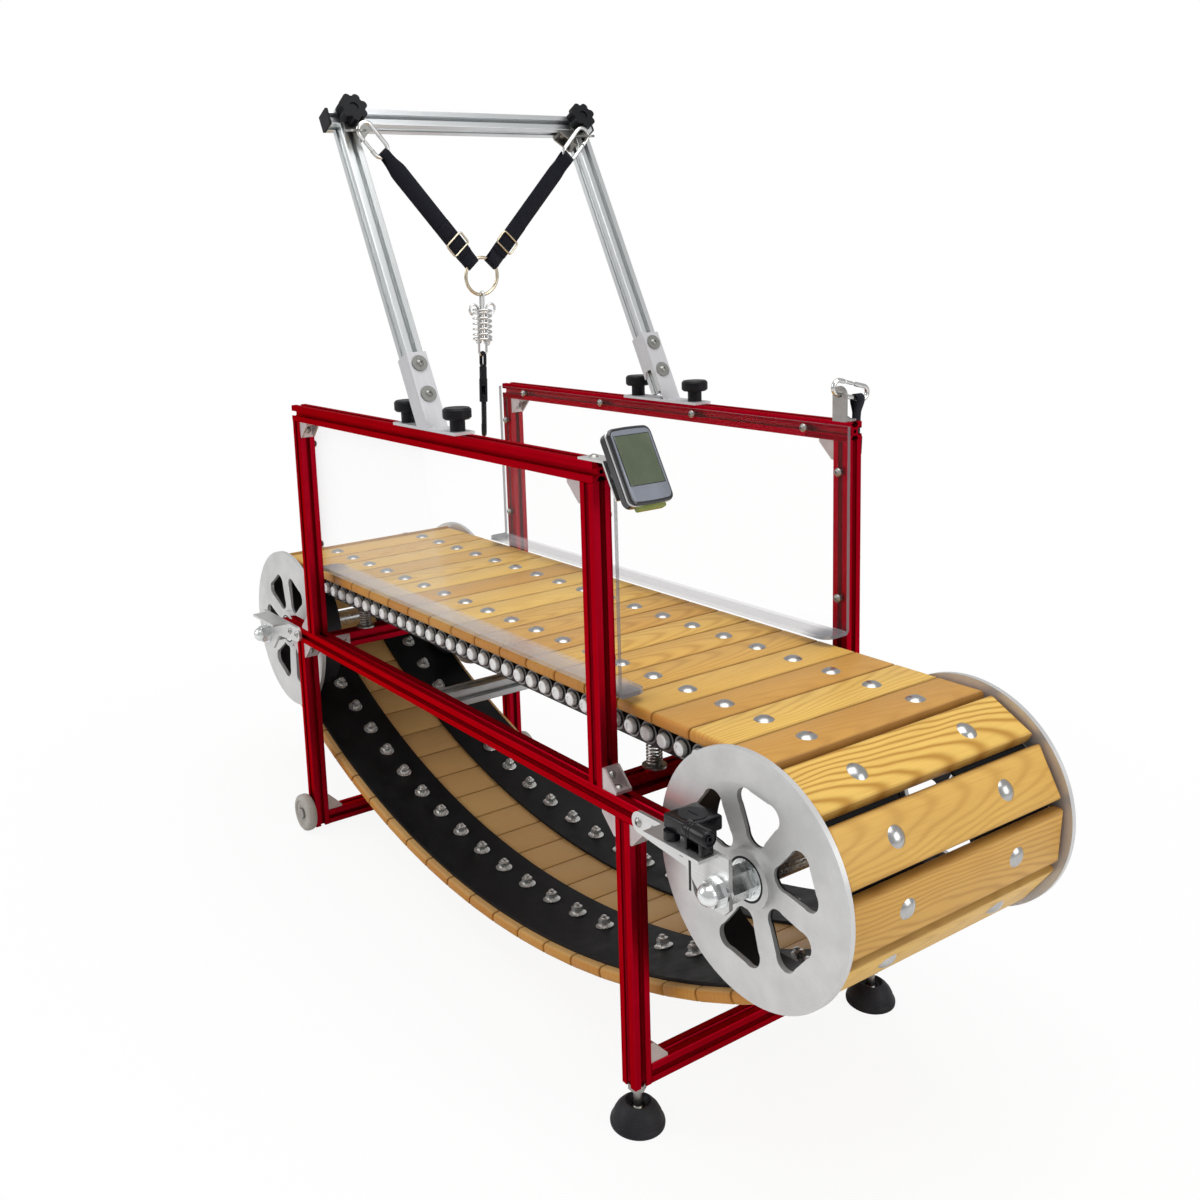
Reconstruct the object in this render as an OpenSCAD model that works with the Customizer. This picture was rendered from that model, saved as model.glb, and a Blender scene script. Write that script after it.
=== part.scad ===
// Dog treadmill: a loop of wooden slats on two pairs of discs, in an inclined frame of slotted profile.
// The frame's own axes have X along the rails, Y across and Z square to the rails' top.

/* [Frame profile] */
// Width of the square slotted profile
profile_w = 20; // [18:0.5:24]
// Width of the slots' mouths
slot_w = 6; // [5:0.25:6.5]
// Thickness of the lips beside a slot
slot_lip = 1.8; // [1.2:0.1:2.2]
// Depth of the slots
slot_depth = 6; // [5.5:0.25:6.5]
// Diameter of the bore through the profile's core
core_bore_d = 4.2; // [3:0.2:5]
// Radius of the profile's long edges
profile_edge_r = 1; // [0.5:0.1:1.5]

/* [Frame] */
// Width over the two side frames
frame_w = 340; // [320:5:420]
// Length of a side frame over its posts
portal_l = 640; // [600:10:760]
// Height of the handrails' top above the rails' top
portal_h = 300; // [240:5:360]
// How far the rails run past the posts
rail_overhang = 85; // [80:1:100]
// Gap between a post's face and the leg beyond it
leg_gap = 18; // [16:1:24]
// Length of the legs below the rails
leg_l = 263; // [255:1:300]
// Slope of the rails, front end up
incline = 3.2; // [2:0.1:4.5]
// Distance between the two cross bars under the deck
bed_bar_pitch = 600; // [560:5:600]
// Distance of the middle bar behind the front posts' face
middle_bar_back = 322; // [250:2:400]
// Length of a corner bracket's legs
bracket_l = 20; // [18:0.5:22]
// Width of a corner bracket
bracket_w = 18; // [16:0.5:18]
// Thickness of a corner bracket's plates
bracket_t = 3; // [2.5:0.25:3.5]
// Diameter of the frame screws' shanks
screw_d = 5; // [4:0.25:5]
// Diameter of the frame screws' round heads
screw_head_d = 9; // [8:0.25:10]

/* [Side panels] */
// Thickness of the clear panels
panel_t = 4; // [3:0.5:5]
// Height of the panels' lower edge above the rails
panel_bottom = 80; // [79:1:100]
// Width of the flange at the panels' foot
panel_flange = 30; // [20:1:36]
// Radius of the panels' bend and corners
panel_r = 12; // [8:1:14]
// Distance of the end screws from the panels' ends
panel_screw_inset = 58; // [40:1:80]

/* [Slat belt] */
// Distance of the front axle ahead of the front posts
axle_front_reach = 159; // [156:1:180]
// Distance of the rear axle behind the rear posts
axle_rear_reach = 131; // [130:1:150]
// Depth of the axles below the rails' top
axle_drop = 31; // [30:0.5:34]
// Diameter of the discs
disc_d = 220; // [218:1:230]
// Thickness of the discs
disc_t = 5; // [3:0.25:6]
// Diameter of the drum that carries a belt
drum_d = 173.4; // [170:0.2:175]
// Width of a drum
drum_w = 36; // [25:1:40]
// Thickness of the belts
belt_t = 4; // [3:0.25:5]
// Width of one belt
belt_w = 90; // [80:1:96]
// Distance of the belts' middle from the centre line
belt_y = 80; // [75:1:82]
// Depth of the hanging run below the axles
belt_sag = 217; // [190:1:220]
// Length of a slat across the machine
slat_l = 268; // [250:1:270]
// Width of a slat
slat_w = 48.8; // [40:0.2:56]
// Thickness of a slat
slat_t = 12; // [10:0.25:13]
// Diameter of the slat bolts' domed heads
bolt_head_d = 21; // [17:0.5:22]
// Diameter of the slat bolts' shanks
bolt_d = 8; // [6:0.5:8]
// Distance of the slat bolts from the centre line
bolt_y = 69; // [60:0.5:70]

/* [Axles] */
// Diameter of the axles
axle_d = 20; // [16:0.5:20]
// Outer diameter of the hub bearings
hub_bearing_d = 35; // [34:0.5:38]
// Width of the hub bearings
hub_bearing_w = 12; // [9:0.5:13]
// Thickness of the axle brackets
axle_plate_t = 4; // [3:0.25:5]
// Depth of the axle brackets below the rails' top
axle_plate_h = 50; // [48:1:58]
// Length of an axle bracket inward from its axle
axle_plate_l = 111; // [108:1:114]
// Reach of the shelf that is bent out of a bracket
shelf_w = 20; // [16:1:24]

/* [Roller bed] */
// Diameter of the small bearings that carry the belts
roller_d = 22; // [20:0.5:23]
// Width of those bearings
roller_w = 7; // [6:0.5:8]
// Pitch of those bearings
roller_pitch = 23.5; // [23.2:0.1:24]
// Number of those bearings on one side
roller_count = 33; // [28:1:33]
// Distance of the first bearing ahead of the front posts' face
roller_lead = 80; // [70:1:82]
// Distance of the roller rails' outer face from the centre line
roller_rail_y = 114; // [110:0.5:114]
// Thickness of the roller rails' sheet
roller_rail_t = 3; // [2.5:0.25:3]
// Width of the roller rails' foot
roller_foot_w = 28; // [24:1:30]
// Length of the springs below the roller rails
bed_spring_l = 26; // [24:0.5:28]
// Outer diameter of those springs
bed_spring_d = 13.5; // [12:0.25:15]
// Wire of those springs
bed_wire_d = 2; // [1.6:0.1:2.2]
// Curls of one of those springs
bed_curls = 6; // [4:1:6]

/* [Feet and wheels] */
// Diameter of the rear wheels
wheel_d = 50; // [48:1:56]
// Width of the rear wheels
wheel_w = 15; // [12:0.5:18]
// Height of the wheels' axis above the legs' end
wheel_rise = 22; // [20:0.5:22.5]
// Diameter of the foot pads
pad_d = 52; // [44:1:60]
// Height of the foot pads
pad_h = 26; // [24:0.5:28]

/* [Gantry] */
// Distance of the gantry's foot behind the front posts' face
gantry_back = 294; // [240:2:340]
// Lean of the gantry's arms from square to the handrails
gantry_lean = 27; // [24:0.5:32]
// Length from the handrails to the gantry's cross bar along the arms
gantry_l = 363; // [330:1:380]
// Length of the gantry's cross bar
gantry_bar_l = 358; // [350:1:370]
// Length of a gantry foot's base plate
foot_base_l = 132; // [120:1:140]
// Length of a gantry foot's socket along the arm
foot_socket_l = 84; // [76:1:92]
// Thickness of the gantry feet's sheet
foot_sheet_t = 2; // [1.5:0.25:2.5]
// Distance between the clamp knobs of one foot
clamp_pitch = 104; // [92:1:106]
// Diameter of the clamp knobs' heads
clamp_head_d = 30; // [26:0.5:32]
// Diameter of the star knobs over their lobes
star_d = 34; // [30:0.5:35]
// Distance of the star knobs from the centre line
star_y = 157; // [154:0.5:158]

/* [Harness] */
// Wire of the snap links
link_wire_d = 5; // [4:0.25:5.5]
// Radius of the snap links' ends, to the middle of the wire
link_r = 9; // [8.5:0.25:10]
// Distance between the centres of a snap link's ends
link_l = 26; // [25:1:30]
// Depth of the ring below the eyes
ring_drop = 165; // [150:1:190]
// Diameter of the ring, to the middle of its wire
ring_d = 44; // [38:0.5:46]
// Wire of the ring
ring_wire_d = 4; // [3:0.25:4]
// Width of the harness straps
strap_w = 20; // [18:0.5:22]
// Thickness of one layer of strap
strap_t = 1.5; // [1:0.1:1.6]
// Outer diameter of the harness spring
shock_d = 20; // [19.5:0.25:22]
// Wire of the harness spring
shock_wire_d = 2; // [1.6:0.1:2.2]
// Length of the harness spring
shock_l = 40; // [38:0.5:44]
// Curls of the harness spring
shock_curls = 7; // [5:1:7]
// Length of the snap hook from its swivel to its tip
hook_l = 82; // [74:1:86]
// Turn of the snap hook about its swivel
hook_turn = -33; // [-90:1:90]

/* [Display and sensor] */
// Width of the display
display_w = 48; // [44:0.5:50]
// Height of the display
display_h = 70; // [64:0.5:72]
// Thickness of the display
display_t = 15; // [13:0.5:17]
// Lean of the display's face from square to the handrails
display_lean = 29; // [20:0.5:35]
// Length of the sensor
sensor_l = 34; // [32:0.5:38]
// Width of the sensor
sensor_w = 36; // [34:0.5:38]
// Height of the sensor
sensor_h = 20; // [18:0.5:22]

/* [Hidden] */
$fn = 48;
// Overrun of every cut
over = 1;
// Clearance between pieces that move past each other
gap = 0.3;
// Clearance of shafts and screws in their bores
fit = 0.06;
// Shares of the profile's section
slot_inner_share = 0.55;
slot_floor_share = 0.26;
profile_h = profile_w / 2;
side_y = frame_w / 2 - profile_h;
inner_y = side_y - profile_h;
outer_y = side_y + profile_h;
post_xs = [-profile_h, profile_h - portal_l];
leg_xs = [leg_gap + profile_h, -portal_l - leg_gap - profile_h];
leg_end = -profile_w - leg_l;
bar_xs = [-profile_h, -profile_h - bed_bar_pitch];
handrail_z = portal_h - profile_h;
// Where the frame stands: the rear wheels and the front feet touch the ground
wheel_z = leg_end + wheel_rise;
shift_z = wheel_d / 2 - leg_xs[1] * sin(incline) - wheel_z * cos(incline);
axle_xs = [axle_front_reach, -portal_l - axle_rear_reach];
axle_half = (axle_xs[0] - axle_xs[1]) / 2;
deck_x = (axle_xs[0] + axle_xs[1]) / 2;
shift_x = -deck_x * cos(incline) - axle_drop * sin(incline);

// Corner brackets and screws
bracket_web_t = 2;
bracket_hole_share = 0.55;
screw_head_h = 2.6;
screw_grip = 3.5;
socket_d = 3;
socket_depth = 1.4;
panel_over = 3;
panel_top = portal_h - slot_lip - slot_lip;
panel_screw_count = 4;
panel_post_shares = [0.17, 0.78];

// The belt's loop, from the top of the front drum rearwards
belt_in_r = drum_d / 2 + gap;
pitch_r = belt_in_r + belt_t / 2;
sag_rest = belt_sag - pitch_r;
arc_rise = (axle_half * axle_half - sag_rest * sag_rest) / (2 * sag_rest);
arc_r = arc_rise + belt_sag;
arc_half = atan(axle_half / arc_rise);
turn = 180 - arc_half;
top_len = 2 * axle_half;
turn_len = pitch_r * turn * PI / 180;
hang_len = arc_r * 2 * arc_half * PI / 180;
loop_len = top_len + 2 * turn_len + hang_len;
slat_gap_min = 1.2;
slat_count = floor(loop_len / (slat_w + slat_gap_min));
slat_pitch = loop_len / slat_count;
slat_start = 5;
bolt_head_h = 5;
nut_flange_d = 18;
nut_flange_h = 2;
nut_h = 8;
// How far a flat nut stands off the belt where it is bent round a drum
nut_seat = belt_in_r - sqrt(belt_in_r * belt_in_r - nut_flange_d * nut_flange_d / 4) + fit;
nut_af = 13;
bolt_tail = 4;
// Place and direction on the loop at a distance s: x, z and the angle of the outward normal
function loop_at(s) =
    s < top_len ? [axle_half - s, pitch_r, 90]
    : s < top_len + turn_len ? on_drum(-axle_half, 90 + (s - top_len) / turn_len * turn)
    : s < top_len + turn_len + hang_len
        ? on_hang(270 - arc_half + (s - top_len - turn_len) / hang_len * 2 * arc_half)
    : on_drum(axle_half, 90 - turn + (s - top_len - turn_len - hang_len) / turn_len * turn);
function on_drum(x, a) = [x + pitch_r * cos(a), pitch_r * sin(a), a];
function on_hang(a) = [arc_r * cos(a), arc_rise + arc_r * sin(a), a];

// The belts bend in flat facets, with one facet centred on every bolt
belt_facets = 5;
facet_l = slat_pitch / belt_facets;
belt_chord = pitch_r - sqrt(pitch_r * pitch_r - facet_l * facet_l / 4);
function belt_points(grow) =
    [for (i = [0 : belt_facets * slat_count - 1])
        let (s = slat_start + i * facet_l + facet_l / 2, p = loop_at(s < loop_len ? s : s - loop_len))
        [p[0] + grow * cos(p[2]), p[1] + grow * sin(p[2])]];

// Discs
disc_inset = 8;
disc_y = inner_y - disc_inset;
disc_edge = 30;
disc_dish = 3;
hub_wall = 8;
hub_step = 1;
hub_r = hub_bearing_d / 2 + hub_wall;
hub_wide = hub_bearing_w + hub_step;
drum_t = 4;
window_count = 6;
window_r = 11;
window_in_share = 0.37;
window_out_share = 0.61;
window_half_angle = 11.5;
window_turns = [20, 3];
window_side_share = 0.95;

// Axles
axle_stud_d = 12;
sleeve_af = 24;
washer_t = 2;
washer_d = 26;
cap_af = 20;
cap_hex_h = 9;
cap_dome_h = 9;
bearing_lip = 4;
seal_depth = 1;
ear_bolts = [9, 30];
axle_end = 12;
shelf_t = 3;
shelf_start = 1;
shelf_l = 70;
plate_chamfer = 6;
plate_foot = 16;
plate_rise_l = 24;
plate_waist = 26;
hex_head_af = 13;
hex_head_h = 5.5;

// Roller bed
deck_under = -axle_drop + belt_in_r;
roller_z = deck_under - gap - roller_d / 2;
roller_xs = [for (i = [0 : roller_count - 1]) roller_lead - i * roller_pitch];
roller_spacer = 1;
roller_rail_end = 6;
rail_top_over = 8;
cup_t = 2;
cup_d = 24;
cup_boss_h = 7;
cup_play = 0.5;
bed_foot_z = cup_t + bed_spring_l;
spring_y = roller_rail_y - roller_foot_w / 2;
roller_nut_h = 5;
rings_a_curl = 8;
tube_sides = 6;

// Feet and wheels
wheel_hub_d = 22;
wheel_recess = 3;
wheel_tyre_r = 3;
wheel_gap = 2;
wheel_bolt_d = 8;
wheel_head_h = 2.8;
ball_d = 13;
ball_z = 14;
pad_skirt_h = 5;
pad_top_d = 20;
pad_mouth_d = 15;
stem_d = 8;
stem_nut_af = 15;
stem_nut_h = 6;
// Where a front leg ends above the ground, and the stem from there to the ball
leg_foot_z = shift_z + leg_xs[0] * sin(incline) + leg_end * cos(incline);
stem_l = (leg_foot_z - ball_z) / cos(incline);

// Gantry
plate_w = 2 * (profile_h + foot_sheet_t);
foot_base_t = 3;
arm_start = 11;
foot_bolt_shares = [0.42, 0.84];
foot_washer_d = 18;
foot_washer_t = 1.6;
inner_plate_share = 0.62;
arch_r = 8;
clamp_stem_d = 16;
clamp_h = 24;
clamp_head_h = 12;
clamp_edge = 2;
stud_d = 5;
tnut_w = 7.2;
tnut_l = 14;
tnut_t = 2;
cap_t = 3;
eye_t = 2.5;
eye_w = 18;
eye_drop = 10;
eye_reach = 13;
star_lobes = 7;
star_h = 13;
star_stem_d = 16;
star_stem_h = 3;
star_core_share = 0.4;
star_lobe_share = 0.14;
star_recess_d = 11;
star_recess = 1.5;
// A point of the leaning gantry in the frame's axes
function on_lean(x, z) = [-gantry_back + x * cos(gantry_lean) - z * sin(gantry_lean),
                          portal_h + x * sin(gantry_lean) + z * cos(gantry_lean)];
eye_foot = on_lean(profile_h + eye_t / 2, gantry_l - eye_drop);
eye_p = [eye_foot[0] + eye_reach * cos(incline), eye_foot[1] - eye_reach * sin(incline)];
swing = 15;
eye_hole_r = link_wire_d / 2 / cos(swing) + eye_t / 2 * tan(swing) + gap;

// Harness, in plumb axes about the middle of the eyes
link_y = star_y - link_r;
link_to_ring = sqrt(link_y * link_y + ring_drop * ring_drop);
link_turn = atan(link_y / ring_drop);
gate_l = 15;
gate_d = 4;
gate_at = 6;
ring_r = ring_d / 2;
loop_w_share = 0.5;
ring_loop_share = 0.7;
link_loop_w = strap_w * loop_w_share;
ring_loop_w = strap_w * ring_loop_share;
link_loop_r = link_wire_d / 2 + gap + link_r - sqrt(link_r * link_r - link_loop_w * link_loop_w / 4);
ring_loop_r = ring_wire_d / 2 + gap + ring_r - sqrt(ring_r * ring_r - ring_loop_w * ring_loop_w / 4);
strap_from = link_l + link_r;
strap_to = link_to_ring - ring_r;
slider_l = 16;
slider_side = 3;
slider_w = strap_w + 2 * slider_side;
slider_t = 2.5;
slider_bar = 3;
slider_back = 16;
strap_taper = 14;
yoke_wire_d = 2.4;
yoke_top = -ring_drop - ring_r;
yoke_r = ring_wire_d / 2 + gap + yoke_wire_d / 2;
yoke_neck = 16;
shock_top = yoke_top - yoke_neck;
shock_end = shock_top - shock_l;
plate_t = 2;
rod_y = 5.2;
rod_over = 12;
rod_end = shock_end - rod_over;
snap_eye_r = 4.5;
snap_eye_l = 8;
snap_wire_d = 4;
snap_eye_z = rod_end - rod_y + yoke_wire_d / 2 + gap + snap_wire_d / 2 - snap_eye_r;
snap_neck = 6;
neck_d = 9;
neck_z = snap_eye_z - snap_eye_l - snap_eye_r - snap_neck;
pin_d = 4;
pin_l = 5;
head_l = 9;
barrel_d = 10;
barrel_l = 28;
barrel_cap = 3;
barrel_z = -head_l - barrel_l;
hook_wire_d = 6.4;
hook_r = 8;
hook_bend_z = -hook_l + hook_r + hook_wire_d / 2;
arm_z = barrel_z + hook_wire_d;
tip_l = 6;
bolt_pin_d = 4.4;
bolt_travel = 10;
thumb_d = 4;
thumb_reach = 3;
thumb_rise = 8;
thumb_z = barrel_z + thumb_rise;

// Corner tether on the left handrail, in plumb axes about its eye
tether_x = -12;
tether_w = 18;
tether_rise = 27;
tether_tilt = 14;
tether_hole_r = link_wire_d / 2 / cos(tether_tilt) + eye_t / 2 * tan(tether_tilt) + gap;
tether_in = 5;
tether_r = 7;
tether_l = 37;
tether_foot = 15;
tether_strap_w = 11;
tether_strap_l = 58;
tether_buckle = [9, 13, 20];
tether_clear = 1.5;
tether_strap_y = profile_w - eye_t / 2 + tether_strap_w / 2 + tether_clear;
tether_bar_z = -tether_strap_y * tan(tether_tilt);
tether_loop_r = link_wire_d / 2 / cos(tether_tilt) + tether_strap_w / 2 * tan(tether_tilt) + gap;

// Display
strip_w = 20;
strip_t = 2;
strip_back = 21;
strip_front = 15;
strip_drop = 36;
display_y = -150;
puck_t = 8;
puck_d = 18;
display_down = 14;
display_r = 6;
face_inset = 2.5;
face_t = 1.2;
key_w = 30;
key_h = 4;
key_t = 6;
key_travel = 1;
strip_bend = [strip_front, portal_h + strip_t / 2];

// Sensor
sensor_x = 105;
sensor_in = 8;
sensor_lift = 7;
sensor_y = -(outer_y + axle_plate_t + shelf_w - sensor_w / 2 - sensor_in);
sensor_base_d = 14;
sensor_base_x = 9;
sensor_cap_d = 25;
sensor_cap_t = 1.5;
cap_proud = 0.5;
cap_slot_share = 0.5;
lens_d = 15;
lens_l = 26;
lens_reach = 20;
lens_in = 12;
lens_sink = 5;
lens_leg_xs = [-5, 12.5];
lens_leg_t = 3.5;
lens_y = -(outer_y + axle_plate_t + shelf_w - lens_in);
lens_z = sensor_h - lens_sink;
tie_w = 4;
tie_t = 1.2;
tie_tail = 34;
tie_y = -outer_y - axle_plate_t - shelf_w / 2;

// Frames of reference

module in_frame() translate([shift_x, 0, shift_z]) rotate([0, -incline, 0]) children();

module plumb_at(p) in_frame() translate(p) rotate([0, incline, 0]) children();

module leaning() in_frame() translate([-gantry_back, 0, portal_h]) rotate([0, -gantry_lean, 0]) children();

module hanging() plumb_at([eye_p[0], 0, eye_p[1]]) children();

// Pieces are drawn on the left, at +Y, and mirrored to the right
module on_side(right) mirror([0, right ? 1 : 0, 0]) children();

module both_sides() for (right = [false, true]) on_side(right) children();

// Turns a piece so that its x runs along u and its z along v
module turned(p, u, v) {
    w = cross(v, u);
    multmatrix([[u.x, w.x, v.x, p.x], [u.y, w.y, v.y, p.y], [u.z, w.z, v.z, p.z]]) children();
}

// Shared shapes

module rounded_square(w, h, r) {
    square([w - 2 * r, h], center = true);
    square([w, h - 2 * r], center = true);
    for (x = [-1, 1], y = [-1, 1]) translate([x * (w / 2 - r), y * (h / 2 - r)]) circle(r);
}

module rounded_plate(w, h, r, t) linear_extrude(t) rounded_square(w, h, r);

module profile_section() {
    mouth = slot_w / 2;
    inner = profile_w * slot_inner_share / 2;
    floor_half = profile_w * slot_floor_share / 2;
    difference() {
        rounded_square(profile_w, profile_w, profile_edge_r);
        circle(d = core_bore_d);
        for (a = [0 : 90 : 270])
            rotate(a)
                polygon([[-mouth, profile_h + over], [-mouth, profile_h - slot_lip],
                         [-inner, profile_h - slot_lip], [-floor_half, profile_h - slot_depth],
                         [floor_half, profile_h - slot_depth], [inner, profile_h - slot_lip],
                         [mouth, profile_h - slot_lip], [mouth, profile_h + over]]);
    }
}

module profile_z(l) linear_extrude(l) profile_section();

module profile_x(l) rotate([0, 90, 0]) profile_z(l);

module profile_y(l) rotate([-90, 0, 0]) profile_z(l);

module hexagon(af, h) cylinder(d = af / cos(30), h = h, $fn = 6);

// A low dome of a given diameter and height on the plane z = 0
module dome(d, h) {
    r = (d * d / 4 + h * h) / (2 * h);
    rotate_extrude()
        intersection() {
            translate([0, h - r]) circle(r);
            square([d / 2, h]);
        }
}

// Screw with a domed socket head; it points down from z = 0
module button_screw(grip) {
    difference() {
        dome(screw_head_d, screw_head_h);
        translate([0, 0, screw_head_h - socket_depth]) hexagon(socket_d, socket_depth + over);
    }
    translate([0, 0, -grip]) cylinder(d = screw_d, h = grip);
}

module corner_bracket() {
    hole_at = bracket_l * bracket_hole_share;
    difference() {
        union() {
            translate([0, -bracket_w / 2, 0]) cube([bracket_l, bracket_w, bracket_t]);
            translate([0, -bracket_w / 2, 0]) cube([bracket_t, bracket_w, bracket_l]);
            for (s = [-1, 1])
                translate([0, s * (bracket_w - bracket_web_t) / 2, 0])
                    rotate([90, 0, 0])
                        linear_extrude(bracket_web_t, center = true)
                            polygon([[0, 0], [bracket_l, 0], [bracket_l, bracket_t],
                                     [bracket_t, bracket_l], [0, bracket_l]]);
        }
        translate([hole_at, 0, -over]) cylinder(d = screw_d + 2 * fit, h = bracket_t + 2 * over);
        translate([-over, 0, hole_at])
            rotate([0, 90, 0]) cylinder(d = screw_d + 2 * fit, h = bracket_t + 2 * over);
    }
}

module bracket_screws() {
    hole_at = bracket_l * bracket_hole_share;
    translate([hole_at, 0, bracket_t]) button_screw(bracket_t + screw_grip);
    translate([bracket_t, 0, hole_at]) rotate([0, 90, 0]) button_screw(bracket_t + screw_grip);
}

// The twelve corners of the left side that are braced
module at_corners() {
    x = [1, 0, 0];
    y = [0, 1, 0];
    z = [0, 0, 1];
    for (end = [0, 1]) {
        out = end == 0 ? x : -x;
        post = post_xs[end];
        leg = leg_xs[end];
        turned([post - out.x * profile_h, side_y, handrail_z - profile_h], -out, -z) children();
        turned([post + out.x * profile_h, side_y, 0], out, z) children();
        for (s = [-1, 1]) turned([leg + s * profile_h, side_y, -profile_w], s * x, -z) children();
        turned([leg, inner_y, leg_end + profile_w], -y, z) children();
        turned([bar_xs[end] - out.x * profile_h, inner_y, -profile_h], -y, -out) children();
    }
}

// A tube of few sides swept through points; outs are unit vectors square to the path
module tube(points, outs, r) {
    n = len(points);
    way = [for (i = [0 : n - 1]) points[min(i + 1, n - 1)] - points[max(i - 1, 0)]];
    rings = [for (i = [0 : n - 1])
        let (t = way[i] / norm(way[i]), b = cross(t, outs[i]))
        for (k = [0 : tube_sides - 1])
            points[i] + r * (cos(k * 360 / tube_sides) * outs[i] + sin(k * 360 / tube_sides) * b)];
    sides = [for (i = [0 : n - 2], k = [0 : tube_sides - 1])
        let (a = i * tube_sides + k, b = i * tube_sides + (k + 1) % tube_sides)
        each [[a, b + tube_sides, b], [a, a + tube_sides, b + tube_sides]]];
    last_ring = (n - 1) * tube_sides;
    first = [for (k = [1 : tube_sides - 2]) [0, k, k + 1]];
    last = [for (k = [1 : tube_sides - 2]) [last_ring, last_ring + k + 1, last_ring + k]];
    polyhedron(rings, concat(first, sides, last));
}

// Coil spring that stands on z = 0, with straight ends of one wire diameter
function coil_points(d, wire, l, curls) =
    let (r = (d - wire) / 2, n = curls * rings_a_curl, rise = l - 2 * wire)
    concat([[r, 0, 0]],
           [for (i = [0 : n]) [r * cos(i * 360 / rings_a_curl), r * sin(i * 360 / rings_a_curl),
                               wire + rise * i / n]],
           [[r * cos(n * 360 / rings_a_curl), r * sin(n * 360 / rings_a_curl), l]]);

function coil_outs(curls) =
    let (n = curls * rings_a_curl)
    concat([[1, 0, 0]], [for (i = [0 : n]) [cos(i * 360 / rings_a_curl), sin(i * 360 / rings_a_curl), 0]],
           [[cos(n * 360 / rings_a_curl), sin(n * 360 / rings_a_curl), 0]]);

function least_gap(points, wire) =
    min([for (i = [0 : len(points) - 1], j = [i + rings_a_curl / 2 : 1 : len(points) - 1])
         norm(points[i] - points[j])]) - wire;

module coil(d, wire, l, curls) {
    points = coil_points(d, wire, l, curls);
    echo(coil_gap = least_gap(points, wire));
    tube(points, coil_outs(curls), wire / 2);
}

// Oval link of round wire in the plane y, z: one end about the origin, the other along -z
module wire_link(r, l, wire) {
    for (end = [0, 1])
        translate([0, 0, -end * l])
            rotate([0, 0, 90])
                rotate([90, 0, 0])
                    rotate(end * 180)
                        rotate_extrude(angle = 180) translate([r, 0]) circle(d = wire);
    for (s = [-1, 1]) translate([0, s * r, -l]) cylinder(d = wire, h = l);
}

// Frame

module side_rails()
    color("firebrick")
        in_frame()
            both_sides()
                translate([-portal_l - rail_overhang, side_y, -profile_h])
                    profile_x(portal_l + 2 * rail_overhang);

module handrails()
    color("firebrick")
        in_frame() both_sides() translate([-portal_l, side_y, handrail_z]) profile_x(portal_l);

module uprights()
    color("firebrick")
        in_frame()
            both_sides() {
                for (x = post_xs) translate([x, side_y, 0]) profile_z(portal_h - profile_w);
                for (x = leg_xs) translate([x, side_y, leg_end]) profile_z(leg_l);
            }

module cross_bars()
    color("firebrick")
        in_frame() {
            for (x = bar_xs) translate([x, -inner_y, -profile_h]) profile_y(2 * inner_y);
            for (x = leg_xs) translate([x, -inner_y, leg_end + profile_h]) profile_y(2 * inner_y);
        }

module middle_bar()
    color("silver")
        in_frame() translate([-middle_bar_back, -inner_y, -profile_h]) profile_y(2 * inner_y);

module corner_brackets() color("lightgray") in_frame() both_sides() at_corners() corner_bracket();

module at_panel_screws() {
    l = portal_l - 2 * panel_screw_inset;
    for (i = [0 : panel_screw_count - 1])
        translate([-panel_screw_inset - l * i / (panel_screw_count - 1), inner_y - panel_t, handrail_z])
            rotate([90, 0, 0]) children();
    for (x = post_xs, share = panel_post_shares)
        translate([x, inner_y - panel_t, panel_bottom + share * (panel_top - panel_bottom)])
            rotate([90, 0, 0]) children();
}

module at_ear_bolts()
    for (end = [0, 1], u = ear_bolts)
        translate([axle_xs[end] - (end == 0 ? 1 : -1) * (axle_plate_l - u), outer_y + axle_plate_t, -profile_h])
            rotate([-90, 0, 0]) children();

module hex_bolt(d, af, head, grip) {
    hexagon(af, head);
    translate([0, 0, -grip]) cylinder(d = d, h = grip);
}

module frame_screws()
    color("silver")
        in_frame() {
            both_sides() {
                at_corners() bracket_screws();
                at_panel_screws() button_screw(panel_t + screw_grip);
                at_ear_bolts() button_screw(axle_plate_t + screw_grip);
                translate([leg_xs[1], outer_y + wheel_gap + wheel_w - wheel_recess, wheel_z])
                    rotate([-90, 0, 0])
                        hex_bolt(wheel_bolt_d, hex_head_af, wheel_head_h,
                                 wheel_w - wheel_recess + wheel_gap - fit);
            }
            translate([-strip_back / 2, -side_y, portal_h + strip_t]) button_screw(strip_t + screw_grip);
            translate([tether_x, side_y, portal_h + eye_t]) button_screw(eye_t + screw_grip);
        }

// Panels

module side_panels()
    color([0.9, 0.95, 1, 0.35])
        in_frame()
            both_sides()
                difference() {
                    translate([-portal_l - panel_over, 0, 0])
                        rotate([90, 0, 90]) linear_extrude(portal_l + 2 * panel_over) panel_section();
                    at_panel_screws()
                        translate([0, 0, -panel_t - over])
                            cylinder(d = screw_d + 2 * fit, h = panel_t + 2 * over);
                    for (end = [0, 1])
                        translate([end == 0 ? panel_over : -portal_l - panel_over,
                                   inner_y - panel_flange - panel_t, panel_bottom - over])
                            mirror([end, 0, 0]) flange_corner();
                }

module panel_section() {
    face = inner_y - panel_t;
    bend = panel_t + panel_t / 2;
    translate([face, panel_bottom + bend]) square([panel_t, panel_top - panel_bottom - bend]);
    translate([face - panel_flange, panel_bottom]) square([panel_flange + panel_t - bend, panel_t]);
    translate([inner_y - bend, panel_bottom + bend])
        intersection() {
            difference() {
                circle(bend);
                circle(bend - panel_t);
            }
            translate([0, -bend]) square(bend);
        }
}

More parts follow.
